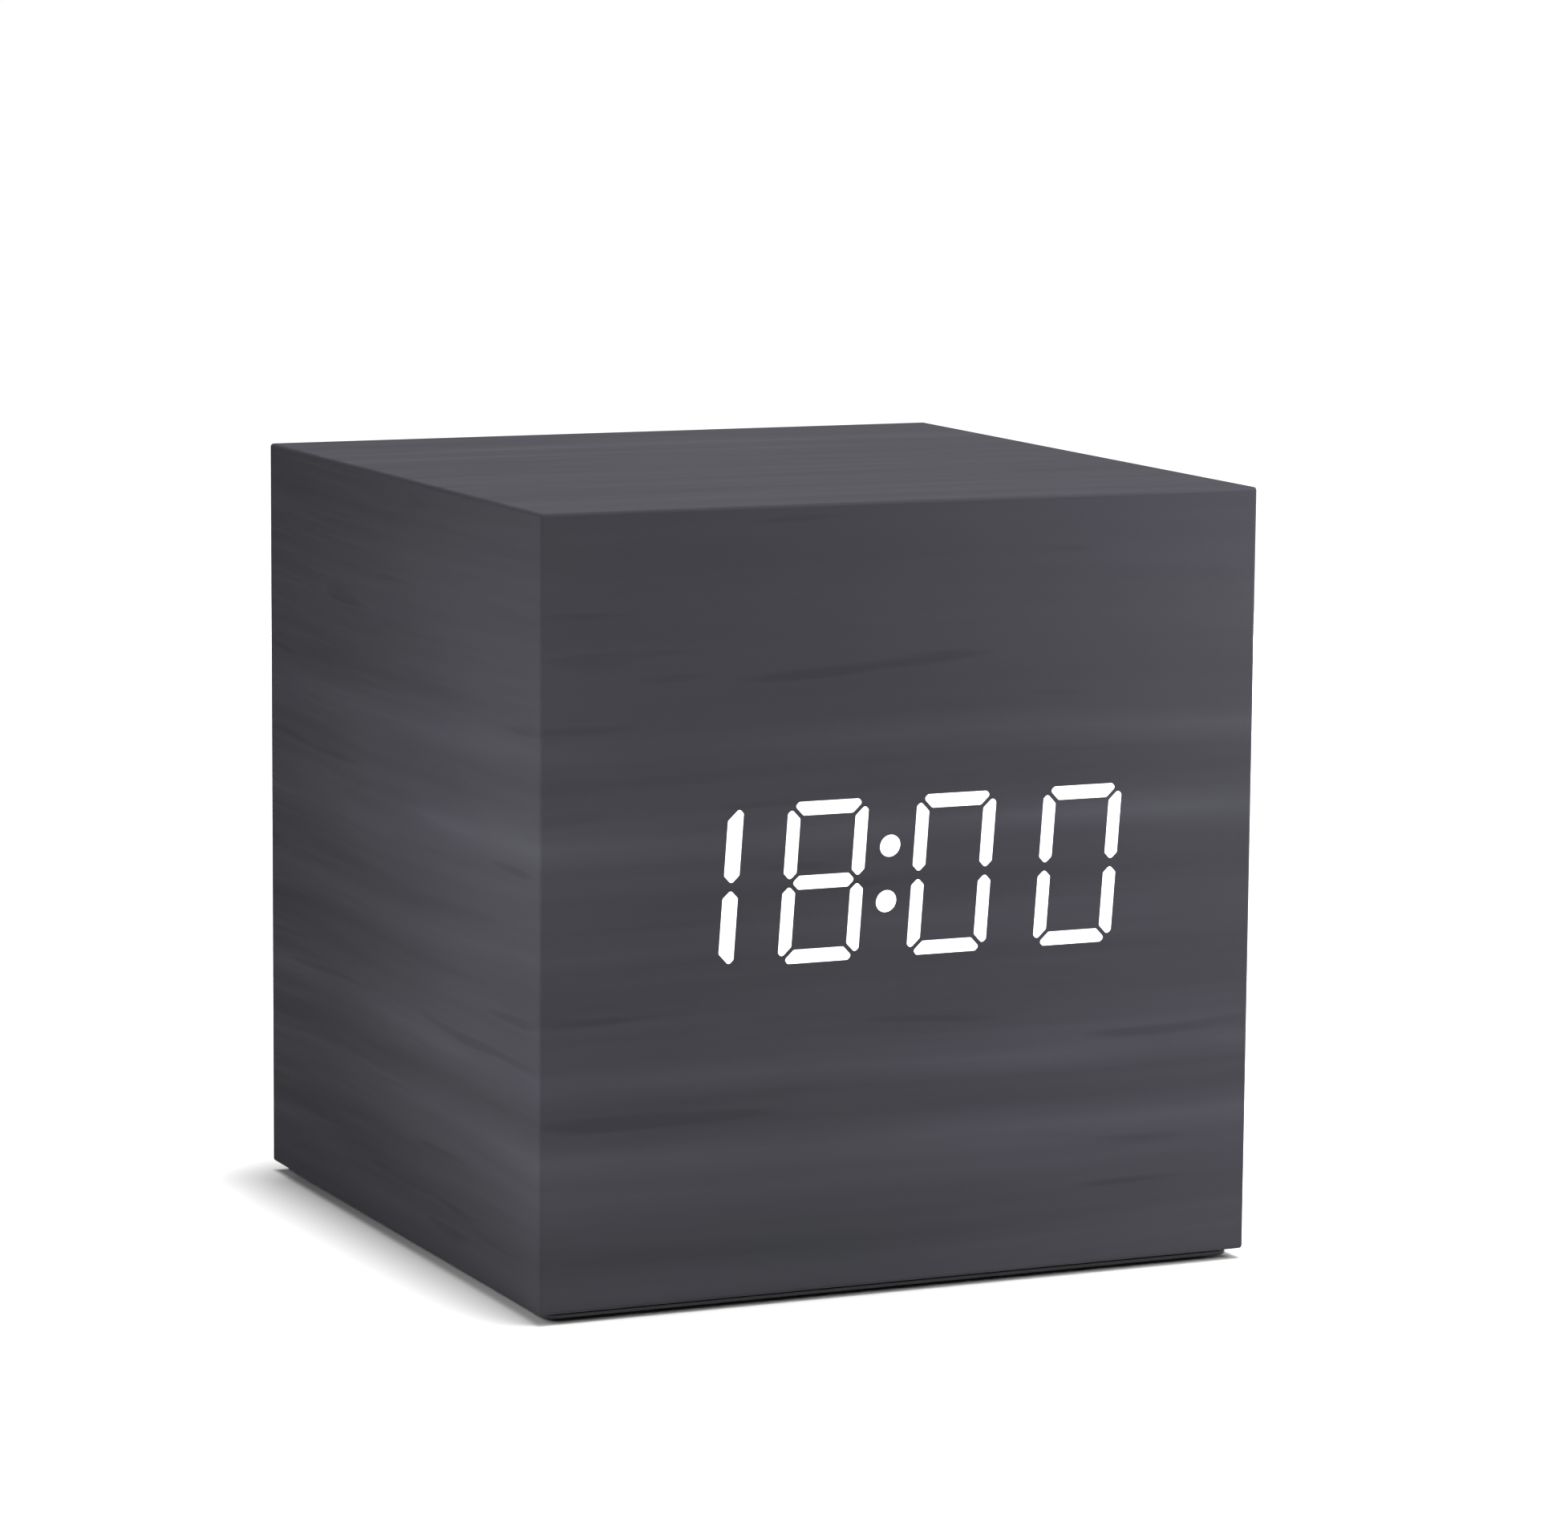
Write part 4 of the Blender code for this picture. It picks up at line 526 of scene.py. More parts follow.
mouldLook = {"castScale": 60.0, "darker": 0.9, "lighter": 1.12, "roughSpread": 0.06,
             "bump": 0.4}


def moulded(name, colour, roughness, grain, depth, constants):
    look = mouldLook
    material, tree, shader, place = newMaterial(name, **constants)
    cast = noise(tree, place, look["castScale"])
    pits = noise(tree, place, grain)
    dress(tree, shader, blendColour(tree, cast, tinted(colour, look["darker"]),
                                    tinted(colour, look["lighter"])),
          ranged(tree, pits, *noiseSpan, roughness - look["roughSpread"],
                 roughness + look["roughSpread"]), pits, (depth, look["bump"]))
    return material


metalLook = {  # colour, roughness and scale of the brushed lines of each
    "zincSteel": ((0.60, 0.60, 0.61), 0.32, (900, 900, 90)),
    "nickel": ((0.72, 0.70, 0.64), 0.26, (120, 900, 900)),
}
brushLook = {"stainScale": 260.0, "darker": 0.86, "smoother": 0.07, "rougher": 0.09,
             "bump": (0.00002, 0.25)}


def metal(name, colour, roughness, brush):
    look = brushLook
    material, tree, shader, place = newMaterial(name, Metallic=1.0)
    lines = noise(tree, place, brush, 3.0, 0.6)
    stains = noise(tree, place, look["stainScale"], 3.0)
    dress(tree, shader, blendColour(tree, stains, tinted(colour, look["darker"]), colour),
          ranged(tree, lines, *noiseSpan, roughness - look["smoother"],
                 roughness + look["rougher"]), lines, look["bump"])
    return material


litLook = {"base": (0.9, 0.92, 0.95, 1), "dim": (0.985, 0.99, 1.0), "bright": (1.0, 1.0, 1.0),
           "mistScale": 900.0}


def litWhite():  # the front of a lit stroke, even and pure white
    look = litLook
    material, tree, shader, place = newMaterial(
        "litWhite", Base_Color=look["base"], Roughness=0.5, Emission_Strength=1.0)
    mist = noise(tree, place, look["mistScale"])
    tree.links.new(blendColour(tree, mist, look["dim"], look["bright"]),
                   shader.inputs["Emission Color"])
    return material


circuitLook = {
    "mask": (0.010, 0.085, 0.034), "overTrack": (0.022, 0.160, 0.060),
    "tin": (0.62, 0.60, 0.55), "tracksPerMetre": 700.0, "trackHalf": 0.17, "runScale": 75.0,
    "rowStep": 7.31, "runShare": 0.5, "seeds": (3.1, 8.7), "holesPerMetre": 350.0,
    "holeRadius": 0.2, "fieldScale": 90.0, "fieldShare": 0.56, "shineScale": 500.0,
    "roughness": (0.28, 0.42), "bump": (0.00004, 0.5),
}


def circuitGreen():  # solder mask over straight copper tracks, with rows of tinned holes
    look = circuitLook
    material, tree, shader, place = newMaterial("circuitGreen", Coat_Weight=0.3)
    axes = addNode(tree, "ShaderNodeSeparateXYZ", {0: place}).outputs
    tracks = 0.0
    for seed, along, across in zip(look["seeds"], (axes["X"], axes["Z"]),
                                   (axes["Z"], axes["X"])):
        rows = calc(tree, "MULTIPLY", across, look["tracksPerMetre"])
        off = calc(tree, "ABSOLUTE", calc(tree, "SUBTRACT", calc(tree, "FRACT", rows), 0.5))
        spot = outputOf(tree, "ShaderNodeCombineXYZ", {
            "X": calc(tree, "MULTIPLY", along, look["runScale"]), "Z": seed,
            "Y": calc(tree, "MULTIPLY", calc(tree, "FLOOR", rows),
                      look["rowStep"])})
        here = calc(tree, "GREATER_THAN", noise(tree, spot, 1.0, 1.0), look["runShare"])
        line = calc(tree, "MULTIPLY", calc(tree, "LESS_THAN", off, look["trackHalf"]), here)
        tracks = calc(tree, "MAXIMUM", line, tracks)
    cells = addNode(tree, "ShaderNodeTexVoronoi", {
        "Vector": place, "Scale": look["holesPerMetre"], "Randomness": 0.0}).outputs["Distance"]
    keep = calc(tree, "GREATER_THAN", noise(tree, place, look["fieldScale"]),
                look["fieldShare"])
    holes = calc(tree, "MULTIPLY", calc(tree, "LESS_THAN", cells, look["holeRadius"]), keep)
    mask = blendColour(tree, tracks, look["mask"], look["overTrack"])
    tree.links.new(holes, shader.inputs["Metallic"])
    dress(tree, shader, blendColour(tree, holes, mask, look["tin"]),
          ranged(tree, noise(tree, place, look["shineScale"]), *noiseSpan,
                 *look["roughness"]), tracks, look["bump"])
    return material


feltLook = {"dark": (0.006, 0.006, 0.007), "light": (0.040, 0.040, 0.043), "scale": 3800.0,
            "bump": (0.0002, 0.8)}


def blackFelt():  # a fuzzy disc over the microphone
    look = feltLook
    material, tree, shader, place = newMaterial(
        "blackFelt", Roughness=0.95, Specular_IOR_Level=0.1, Sheen_Weight=0.4)
    fuzz = noise(tree, place, look["scale"], 4.0, 0.7)
    dress(tree, shader, blendColour(tree, fuzz, look["dark"], look["light"]), None, fuzz,
          look["bump"])
    return material


jacketLook = {
    "sleeve": ((0.060, 0.066, 0.078), (0.085, 0.092, 0.105)),
    "copper": ((0.46, 0.21, 0.09), (0.52, 0.26, 0.12)),
    "scale": 1200.0, "metallic": (0.2, 0.75), "bump": (0.00001, 0.3),
}


def cellJacket():  # a plain dark sleeve with a copper-coloured band at the positive end
    look = jacketLook
    material, tree, shader, place = newMaterial("cellJacket", Roughness=0.3,
                                                Coat_Weight=0.4)
    along = addNode(tree, "ShaderNodeAttribute", attribute_name="alongCell").outputs["Fac"]
    band = calc(tree, "GREATER_THAN", along, -cellLook["band"])
    fine = noise(tree, place, look["scale"])
    tree.links.new(ranged(tree, band, 0.0, 1.0, *look["metallic"]), shader.inputs["Metallic"])
    dress(tree, shader, blendColour(tree, band, blendColour(tree, fine, *look["sleeve"]),
                                    blendColour(tree, fine, *look["copper"])),
          None, fine, look["bump"])
    return material


def makeMaterials():
    made = {"veneer": veneer(), "litWhite": litWhite(), "circuitGreen": circuitGreen(),
            "blackFelt": blackFelt(), "cellJacket": cellJacket()}
    made |= {name: fibreboard(name) for name in ("rawBoard", "blockWood")}
    made |= {name: moulded(name, *look) for name, look in mouldedLook.items()}
    made |= {name: metal(name, *look) for name, look in metalLook.items()}
    return made


# Camera, stage and lamps

cameraView = {
    "lens": 136.784, "sensor": 36.0, "azimuth": -24.31, "elevation": 8.354, "roll": 0.465,
    "aim": (0.00474, -0.00062, 0.05546), "distance": 0.72335,
}
lampLook = {  # place, aim, size and watts of each soft lamp
    "keyLamp": ((0.13, -0.145, 0.87), (0, 0, 0.05), 0.42, 7.6),
    "rightLamp": ((0.13, -0.13, 0.105), (0.03, -0.045, 0.055), 0.08, 0.20),
    "leftLamp": ((-0.13, -0.06, 0.055), (-0.045, -0.03, 0.05), 0.06, 0.066),
    "backLamp": ((0.30, 0.55, 0.048), (0.02, 0.02, 0.05), 0.08, 2.0),  # lower than the top
}
stageLook = {
    "half": 3.0, "thick": 0.02, "floor": (0.72, 0.72, 0.72, 1), "ambient": 0.06,
    "white": (1, 1, 1, 1),
    # painted shadow: the floor's camera-only glow is zero inside a box round the clock and rises
    # over a short reach outside it, so shade is painted beside the clock
    "paintedShadowMiddle": (-0.001, -0.0035, 0), "paintedShadowHalf": (0.0405, 0.0405, 0), "paintedShadowReach": 0.017,
    "paintedShadeUnderHalf": (0.0443, 0.0453),  # painted shade: the floor's glow is off under the clock, so the floor there is painted dark
}


def placeCamera():
    look = cameraView
    azimuth, elevation = math.radians(look["azimuth"]), math.radians(look["elevation"])
    away = Vector((math.sin(azimuth) * math.cos(elevation),
                   -math.cos(azimuth) * math.cos(elevation), math.sin(elevation)))
    camera = bpy.data.objects.new("camera", bpy.data.cameras.new("camera"))
    camera.data.lens = look["lens"]
    camera.data.sensor_width = look["sensor"]
    camera.location = Vector(look["aim"]) + away * look["distance"]
    turn = away.to_track_quat("Z", "Y").to_matrix()
    roll = Matrix.Rotation(math.radians(look["roll"]), 3, "Z")
    camera.rotation_euler = (turn @ roll).to_euler()
    bpy.context.scene.collection.objects.link(camera)
    bpy.context.scene.camera = camera


def seenRay(tree):  # one where the camera sees it, straight or by reflection
    path = addNode(tree, "ShaderNodeLightPath").outputs
    seen = calc(tree, "MAXIMUM", path["Is Camera Ray"], path["Is Glossy Ray"])
    return calc(tree, "MAXIMUM", seen, path["Is Transmission Ray"])


def buildStage():
    look = stageLook
    half = look["half"]
    floor = newPiece("floor", boxMesh((-half, -half, -look["thick"]), (half, half, 0)))
    material = bpy.data.materials.new("paleFloor")
    material.use_nodes = True
    tree = material.node_tree
    tree.nodes.clear()
    matt = outputOf(tree, "ShaderNodeBsdfDiffuse", {"Color": look["floor"]})
    place = addNode(tree, "ShaderNodeTexCoord").outputs["Object"]
    # painted shadow: the white glow fades to nothing within a short reach of a box round the clock,
    # so the floor beside the clock is painted darker
    aside = vectorCalc(tree, "ABSOLUTE", vectorCalc(tree, "SUBTRACT", place, look["paintedShadowMiddle"]))
    outside = vectorCalc(tree, "MAXIMUM", vectorCalc(tree, "SUBTRACT", aside, look["paintedShadowHalf"]),
                         (0, 0, 0))
    away = vectorCalc(tree, "LENGTH", outside, result="Value")
    sides = addNode(tree, "ShaderNodeSeparateXYZ", {0: vectorCalc(tree, "ABSOLUTE", place)}).outputs
    # painted shade: no glow under the clock's footprint, which darkens the floor seen under its
    # edges
    outsidePaintedShadeUnder = ranged(tree, calc(tree, "MAXIMUM", sides["X"], sides["Y"]), *look["paintedShadeUnderHalf"])
    rise = calc(tree, "MULTIPLY", ranged(tree, away, 0.0, look["paintedShadowReach"]), outsidePaintedShadeUnder)
    glow = outputOf(tree, "ShaderNodeEmission", {
        "Strength": calc(tree, "MULTIPLY", seenRay(tree), rise)})
    both = outputOf(tree, "ShaderNodeAddShader", {0: matt, 1: glow})
    addNode(tree, "ShaderNodeOutputMaterial", {"Surface": both})
    setFinish(floor, material)
    world = bpy.data.worlds.new("paleStudio")
    bpy.context.scene.world = world
    world.use_nodes = True
    tree = world.node_tree
    tree.nodes.clear()
    soft, white = (outputOf(tree, "ShaderNodeBackground", {
        "Color": look["white"], "Strength": strength})
        for strength in (look["ambient"], 1.0))
    mixed = outputOf(tree, "ShaderNodeMixShader", {0: seenRay(tree), 1: soft, 2: white})
    addNode(tree, "ShaderNodeOutputWorld", {"Surface": mixed})


def placeLamps():
    for name, (place, aim, size, watts) in lampLook.items():
        lamp = bpy.data.lights.new(name, "AREA")
        lamp.shape = "DISK"
        lamp.size = size
        lamp.energy = watts
        holder = bpy.data.objects.new(name, lamp)
        holder.visible_camera = False
        holder.location = place
        holder.rotation_euler = (Vector(place) - Vector(aim)).to_track_quat("Z", "Y").to_euler()
        bpy.context.scene.collection.objects.link(holder)
    bpy.context.scene.view_settings.view_transform = "Standard"


# Figures: 18:00 in seven strokes each, leaning a little to the right

figureLook = {
    "width": 0.0085, "height": 0.0170, "stroke": 0.0016, "gap": 0.00035, "lean": 4.0,
    "oneStroke": 0.0019, "oneReach": 0.0004,  # the figure one is a little heavier and taller
    "tipShift": 0.4, "corner": 0.00034, "cornerSteps": 4, "dot": 0.00255, "dotSpread": 0.0064,
    "dotLift": 0.0004, "windowRoom": 0.00002, "litDepth": 0.00002, "sheet": 0.0008,
}
strokePlaces = {  # middle of each stroke in half widths and half heights, and if it is upright
    "top": (0, 1, False), "upperRight": (1, 0.5, True), "lowerRight": (1, -0.5, True),
    "bottom": (0, -1, False), "lowerLeft": (-1, -0.5, True), "upperLeft": (-1, 0.5, True),
    "middle": (0, 0, False),
}
litStrokes = {
    "0": ("top", "upperRight", "lowerRight", "bottom", "lowerLeft", "upperLeft"),
    "1": ("upperRight", "lowerRight"), "8": tuple(strokePlaces),
}
guideNodes = {"light_guide_hours_tens": "1", "light_guide_hours_units": "8",
              "light_guide_minutes_tens": "0", "light_guide_minutes_units": "0"}


def strokeOutline(xMiddle, stroke, room, figure):
    look = figureLook
    xShare, zShare, upright = strokePlaces[stroke]
    span = look["height"] / 2 if upright else look["width"]
    alone = figure == "1"
    reach = look["oneReach"] if alone else 0
    halfLong = span / 2 - look["gap"] + reach / 2 + room * math.sqrt(2)
    halfWide = look["oneStroke" if alone else "stroke"] / 2 + room
    outside = -xShare if upright else zShare
    ends = []
    for side in (1, -1):  # the far end, then the near one
        atCorner = not upright or side == zShare * 2
        shift = outside * halfWide * look["tipShift"] if atCorner else 0
        tip = halfLong + abs(shift)
        end = [(tip - abs(halfWide + shift), -halfWide), (tip, shift),
               (tip - abs(halfWide - shift), halfWide)]
        ends += end if side == 1 else [(-far, wide) for far, wide in reversed(end)]
    points = []
    for far, wide in ends:
        x, z = (-wide, far) if upright else (far, wide)
        points.append((xMiddle + x + xShare * look["width"] / 2,
                       z + zShare * (look["height"] / 2 + reach), 0))
    return points


def dotOutline(xMiddle, side, room, sides=48):
    look = figureLook
    radius = look["dot"] / 2 + room
    return [(xMiddle + radius * math.cos(math.tau * step / sides),
             look["dotLift"] + side * look["dotSpread"] / 2
             + radius * math.sin(math.tau * step / sides), 0) for step in range(sides)]


def figureOutlines(node, lit, room=0.0):
    xMiddle = middle(node).x
    if node == "light_guide_colon":
        return [dotOutline(xMiddle, side, room) for side in (-1, 1)] if lit else []
    figure = guideNodes[node]
    return [strokeOutline(xMiddle, stroke, room, figure if lit else "") for stroke in strokePlaces
            if (stroke in litStrokes[figure]) == lit]


def strokeBars(name, outlines, front, back, material):
    look = figureLook
    piece = newPiece(name, lineMesh(outlines, closed=True))
    growTree(piece, trees["strokes"], {
        "Corner Radius": look["corner"], "Corner Steps": look["cornerSteps"],
        "Thickness": back - front, "Lean Slope": math.tan(math.radians(look["lean"])),
        "Place": (0, back, middle("light_guide_hours_tens").z), "Material": material})
    return piece


def buildGuides():
    look = figureLook
    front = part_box("front_board")[0].y + look["litDepth"]
    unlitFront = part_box("display_reflector")[0].y
    slope = math.tan(math.radians(look["lean"]))
    for node in (*guideNodes, "light_guide_colon"):
        low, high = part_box(node)
        centre, halfHigh = middle(node), (high.z - low.z) / 2
        boardSide = high.y - look["sheet"] / 2
        name = "Guide" + node[len("light_guide_"):].title().replace("_", "")
        piece = strokeBars(name, figureOutlines(node, True), front, boardSide,
                           finishes["diffuser"])
        unlit, others = figureOutlines(node, False), []
        if unlit:
            others.append(takeMesh(strokeBars(name + "Unlit", unlit, unlitFront, boardSide,
                                              finishes["diffuser"])))
        place = Matrix.Translation((centre.x, 0, centre.z)) @ Matrix.Shear("XY", 4, (slope, 0))
        spread = halfHigh * slope
        others.append(boxMesh(
            (low.x - centre.x + spread, high.y - look["sheet"], -halfHigh),
            (high.x - centre.x - spread, high.y, halfHigh), place))
        addMeshes(piece, others)
        setFinish(piece, finishes["diffuser"], finishes["litWhite"])
        finishWhere(piece, 1, lambda centre, normal: centre.y < front + look["litDepth"])
        shadeRound(piece.data)
        finishPiece(piece, "case", "lit_white", node)


# Case: one seamless wrap of veneer over mitred boards, hollow, open below

caseLook = {
    "arris": 0.0004, "arrisSteps": 4, "wall": 0.006, "overrun": 0.002, "room": 0.0003,
    "displaySkin": 0.001, "controlSkin": 0.0021, "earLength": 0.0036,
    "controlPocket": (0.048, 0.034), "capHole": 0.0066, "inletHole": 0.0062,
    "soundHole": 0.0016, "slot": (0.005, 0.002), "chamfer": 0.00025, "stainDepth": 0.0023,
    "flatLimit": 0.7,  # a face whose normal is more upright than this lies flat
}


def holeCutter(diameter, place, chamfer):  # a hole along Y with an eased mouth at the back
    radius = diameter / 2
    reach = caseLook["wall"]
    profile = [(0, caseLook["overrun"]), (radius + chamfer + caseLook["overrun"],
                                          caseLook["overrun"]),
               (radius + chamfer, 0), (radius, -chamfer), (radius, -reach), (0, -reach)]
    turn = Matrix.Rotation(-quarterTurn, 4, "X")
    return turnedMesh(profile, place=Matrix.Translation(place) @ turn)


def buildCase():
    look = caseLook
    boards = ("front_board", "back_board", "left_board", "right_board", "top_board")
    boxes = [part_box(board) for board in boards]
    low = Vector(min(box[0][axis] for box in boxes) for axis in range(3))
    high = Vector(max(box[1][axis] for box in boxes) for axis in range(3))
    case = newPiece("veneeredCase", boxMesh(low, high))
    roundEdges(case, look["arris"], look["arrisSteps"])
    wall, over, room = look["wall"], look["overrun"], look["room"]
    reflectorLow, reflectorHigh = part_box("display_reflector")
    ear = look["earLength"]
    pocketWide, pocketTall = look["controlPocket"]
    board = middle("main_board")
    cutters = [
        boxMesh((low.x + wall, low.y + wall, low.z - over),
                (high.x - wall, high.y - wall, high.z - wall)),
        boxMesh((reflectorLow.x + ear - room, low.y + look["displaySkin"],
                 reflectorLow.z - room),
                (reflectorHigh.x - ear + room, low.y + wall + over, reflectorHigh.z + room)),
        boxMesh((board.x - pocketWide / 2, high.y - wall - over, board.z - pocketTall / 2),
                (board.x + pocketWide / 2, high.y - look["controlSkin"],
                 board.z + pocketTall / 2)),
    ]
    windows = []
    for node in (*guideNodes, "light_guide_colon"):
        windows += figureOutlines(node, True, figureLook["windowRoom"])
    cutters.append(takeMesh(strokeBars("windowCutter", windows, low.y - over, low.y + 2 * over,
                                       finishes["veneer"])))
    holes = [(name + "_button_cap", look["capHole"], look["chamfer"]) for name in buttonNames]
    holes += [("dc_jack", look["inletHole"], look["chamfer"]),
              ("microphone", look["soundHole"], look["chamfer"] / 2)]
    for node, diameter, chamfer in holes:
        place = middle(node)
        place.y = high.y
        cutters.append(holeCutter(diameter, place, chamfer))
    switch = middle("sound_switch_body")
    slotLong, slotTall = look["slot"]
    cutters.append(boxMesh((switch.x - slotLong / 2, high.y - wall, switch.z - slotTall / 2),
                           (switch.x + slotLong / 2, high.y + over, switch.z + slotTall / 2)))
    carve(case, cutters)
    setFinish(case, finishes["veneer"], finishes["rawBoard"])
    stain = look["stainDepth"]
    flats = case.data.attributes.new("lyingFlat", "FLOAT", "FACE")
    for face in case.data.polygons:
        centre, normal = face.center, face.normal
        depth = min(*(centre - low), *(high - centre))
        face.material_index = 0 if depth < stain else 1
        flats.data[face.index].value = float(abs(normal.z) > look["flatLimit"])
        face.use_smooth = True
    keepFlat(case)
    finishPiece(case, "case", "veneer", *boards)


# Base plate, door, feet and screws

baseLook = {"edge": 0.00015, "doorEdge": 0.00018}
footLook = {"ease": 0.0004, "sides": 72}
screwLook = {  # head width, head height, shank width, length, thread pitch
    "base": (0.0046, 0.0013, 0.0020, 0.0090), "small": (0.0034, 0.0011, 0.0015, 0.0055),
    "dome": 0.22, "crossLength": 0.60, "crossWidth": 0.17, "crossDepth": 0.7,
    "crossTaper": (0.45, 0.7), "headEase": 0.0001, "threadPitch": 0.0007,
    "threadCore": 0.78, "threadFlanks": (0.3, 0.65), "tipTurns": 2, "twist": 0.4, "sides": 56,
}


def buildBase():
    for name, node, body, edge in (
            ("basePlate", "base_plate", "case", baseLook["edge"]),
            ("batteryDoor", "battery_door", "battery_door", baseLook["doorEdge"])):
        piece = softCopy(name, node, edge)
        setFinish(piece, finishes["blackPlastic"])
        finishPiece(piece, body, "black_plastic", node)


def buildFeet():
    nodes = ["foot_" + corner for corner in corners]
    low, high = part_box(nodes[0])
    radius, height = (high.x - low.x) / 2, high.z - low.z
    profile = eased([(0, height), (radius, height), (radius, 0), (0, 0)], footLook["ease"])
    places = [((middle(node).x, middle(node).y, low.z), (0, 0, 0)) for node in nodes]
    feet = placeCopies("rubberFeet", turnedMesh(profile, footLook["sides"]), places,
                       finishes["footRubber"])
    finishPiece(feet, "case", "rubber", *nodes)


def screwMesh(kind):  # the head's top is at z = 0 and faces up, the shank hangs below
    look = screwLook
    head, thick, shank, length = look[kind]
    head, shank = head / 2, shank / 2
    rim = -thick * (1 - look["dome"])
    ease, pitch, tip = look["headEase"], look["threadPitch"], look["tipTurns"]
    profile = domed(head, -rim, rim)
    profile += [(head, -thick + ease), (head - ease, -thick), (shank, -thick)]
    turns = int(length / pitch)
    root, crest = look["threadFlanks"]
    for turn in range(turns):
        top = -thick - turn * pitch
        narrow = 1.0 if turn < turns - tip else (turns - turn) / (tip + 1)
        profile += [(shank * look["threadCore"] * narrow, top - root * pitch),
                    (shank * narrow, top - crest * pitch)]
    profile.append((0, -thick - length))
    screw = newPiece("screw", turnedMesh(profile, look["sides"]))
    arm, wide = head * look["crossLength"], head * look["crossWidth"]
    deep = thick * look["crossDepth"]
    cross = []
    for quarter in (0, 1):
        bar = boxMesh((-arm, -wide, -deep), (arm, wide, thick))
        for vertex in bar.vertices:  # the slot narrows as it goes down
            if vertex.co.z < 0:
                vertex.co.x *= look["crossTaper"][0]
                vertex.co.y *= look["crossTaper"][1]
        bar.transform(Matrix.Rotation(quarter * quarterTurn, 4, "Z"))
        cross.append(bar)
    carve(screw, cross)
    return takeMesh(screw)


def buildScrews():
    sets = {  # kind, nodes, axis and side of the head, and how it is turned
        "baseScrews": ("base", "base_screw_", corners, 2, 0, 2 * quarterTurn),
        "boardScrews": ("small", "board_screw_", ("lower_left", "lower_right", "upper_left",
                                                  "upper_right"), 1, 0, quarterTurn),
        "displayScrews": ("small", "display_screw_", ("left", "right"), 1, 1, -quarterTurn),
    }
    for name, (kind, stem, ends, axis, side, turn) in sets.items():
        nodes = [stem + end for end in ends]
        places = []
        for index, node in enumerate(nodes):
            place = middle(node)
            place[axis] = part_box(node)[side][axis]
            places.append((place, (turn, 0, screwLook["twist"] * index)))
        screws = placeCopies(name, screwMesh(kind), places, finishes["zincSteel"])
        finishPiece(screws, "case", "steel", *nodes)


# Cells and their contacts

cellLook = {"sides": 72, "nub": 0.0019, "nubLength": 0.0011, "ring": 0.0041, "lip": 0.0004,
            "sunk": 0.0003, "band": 0.0115, "nubEase": 0.0002, "shoulderEase": 0.0005}
contactLook = {
    "thick": 0.0004, "edge": 0.00012, "dimple": 0.0022, "dimpleHeight": 0.0005,
    "dimpleTop": 0.6, "dimpleSides": 48, "coilSteps": 40, "wireSides": 14,
    "springLength": 0.0052, "springWide": 0.0037, "springNarrow": 0.0020, "wire": 0.00035,
    "turns": 3.4, "tabWide": 0.0022,
}


def buildCells():
    look = cellLook
    low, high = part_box("battery_1")
    length, radius = high.x - low.x, (high.y - low.y) / 2
    top, ring, lip = -look["nubLength"], look["ring"], look["lip"]
    profile = eased([(0, 0), (look["nub"], 0), (look["nub"], top - look["sunk"]),
                     (ring, top - look["sunk"])], look["nubEase"])
    profile += eased([(ring, top - look["sunk"]), (ring + lip / 2, top), (radius, top),
                      (radius, -length + look["sunk"]), (ring + lip / 2, -length + look["sunk"]),
                      (ring, -length + 2 * look["sunk"])], look["shoulderEase"])[1:]
    profile += [(ring - lip, -length + look["sunk"]), (ring - 2 * lip, -length), (0, -length)]
    places = []
    for index in range(3):
        node = "battery_" + str(index + 1)
        side = -1 if index % 2 == 0 else 1
        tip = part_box(node)[0 if side < 0 else 1].x
        places.append(((tip, middle(node).y, middle(node).z), (0, side * quarterTurn, 0)))
    cell = turnedMesh(profile, look["sides"])
    along = cell.attributes.new("alongCell", "FLOAT", "POINT")
    for vertex in cell.vertices:
        along.data[vertex.index].value = vertex.co.z
    cells = placeCopies(
        "batteryCells", cell, places, finishes["cellJacket"],
        finishes["nickel"], lambda centre, normal: math.hypot(centre.x, centre.y) < ring)
    finishPiece(cells, "case", "cell_jacket", "battery_1", "battery_2", "battery_3")


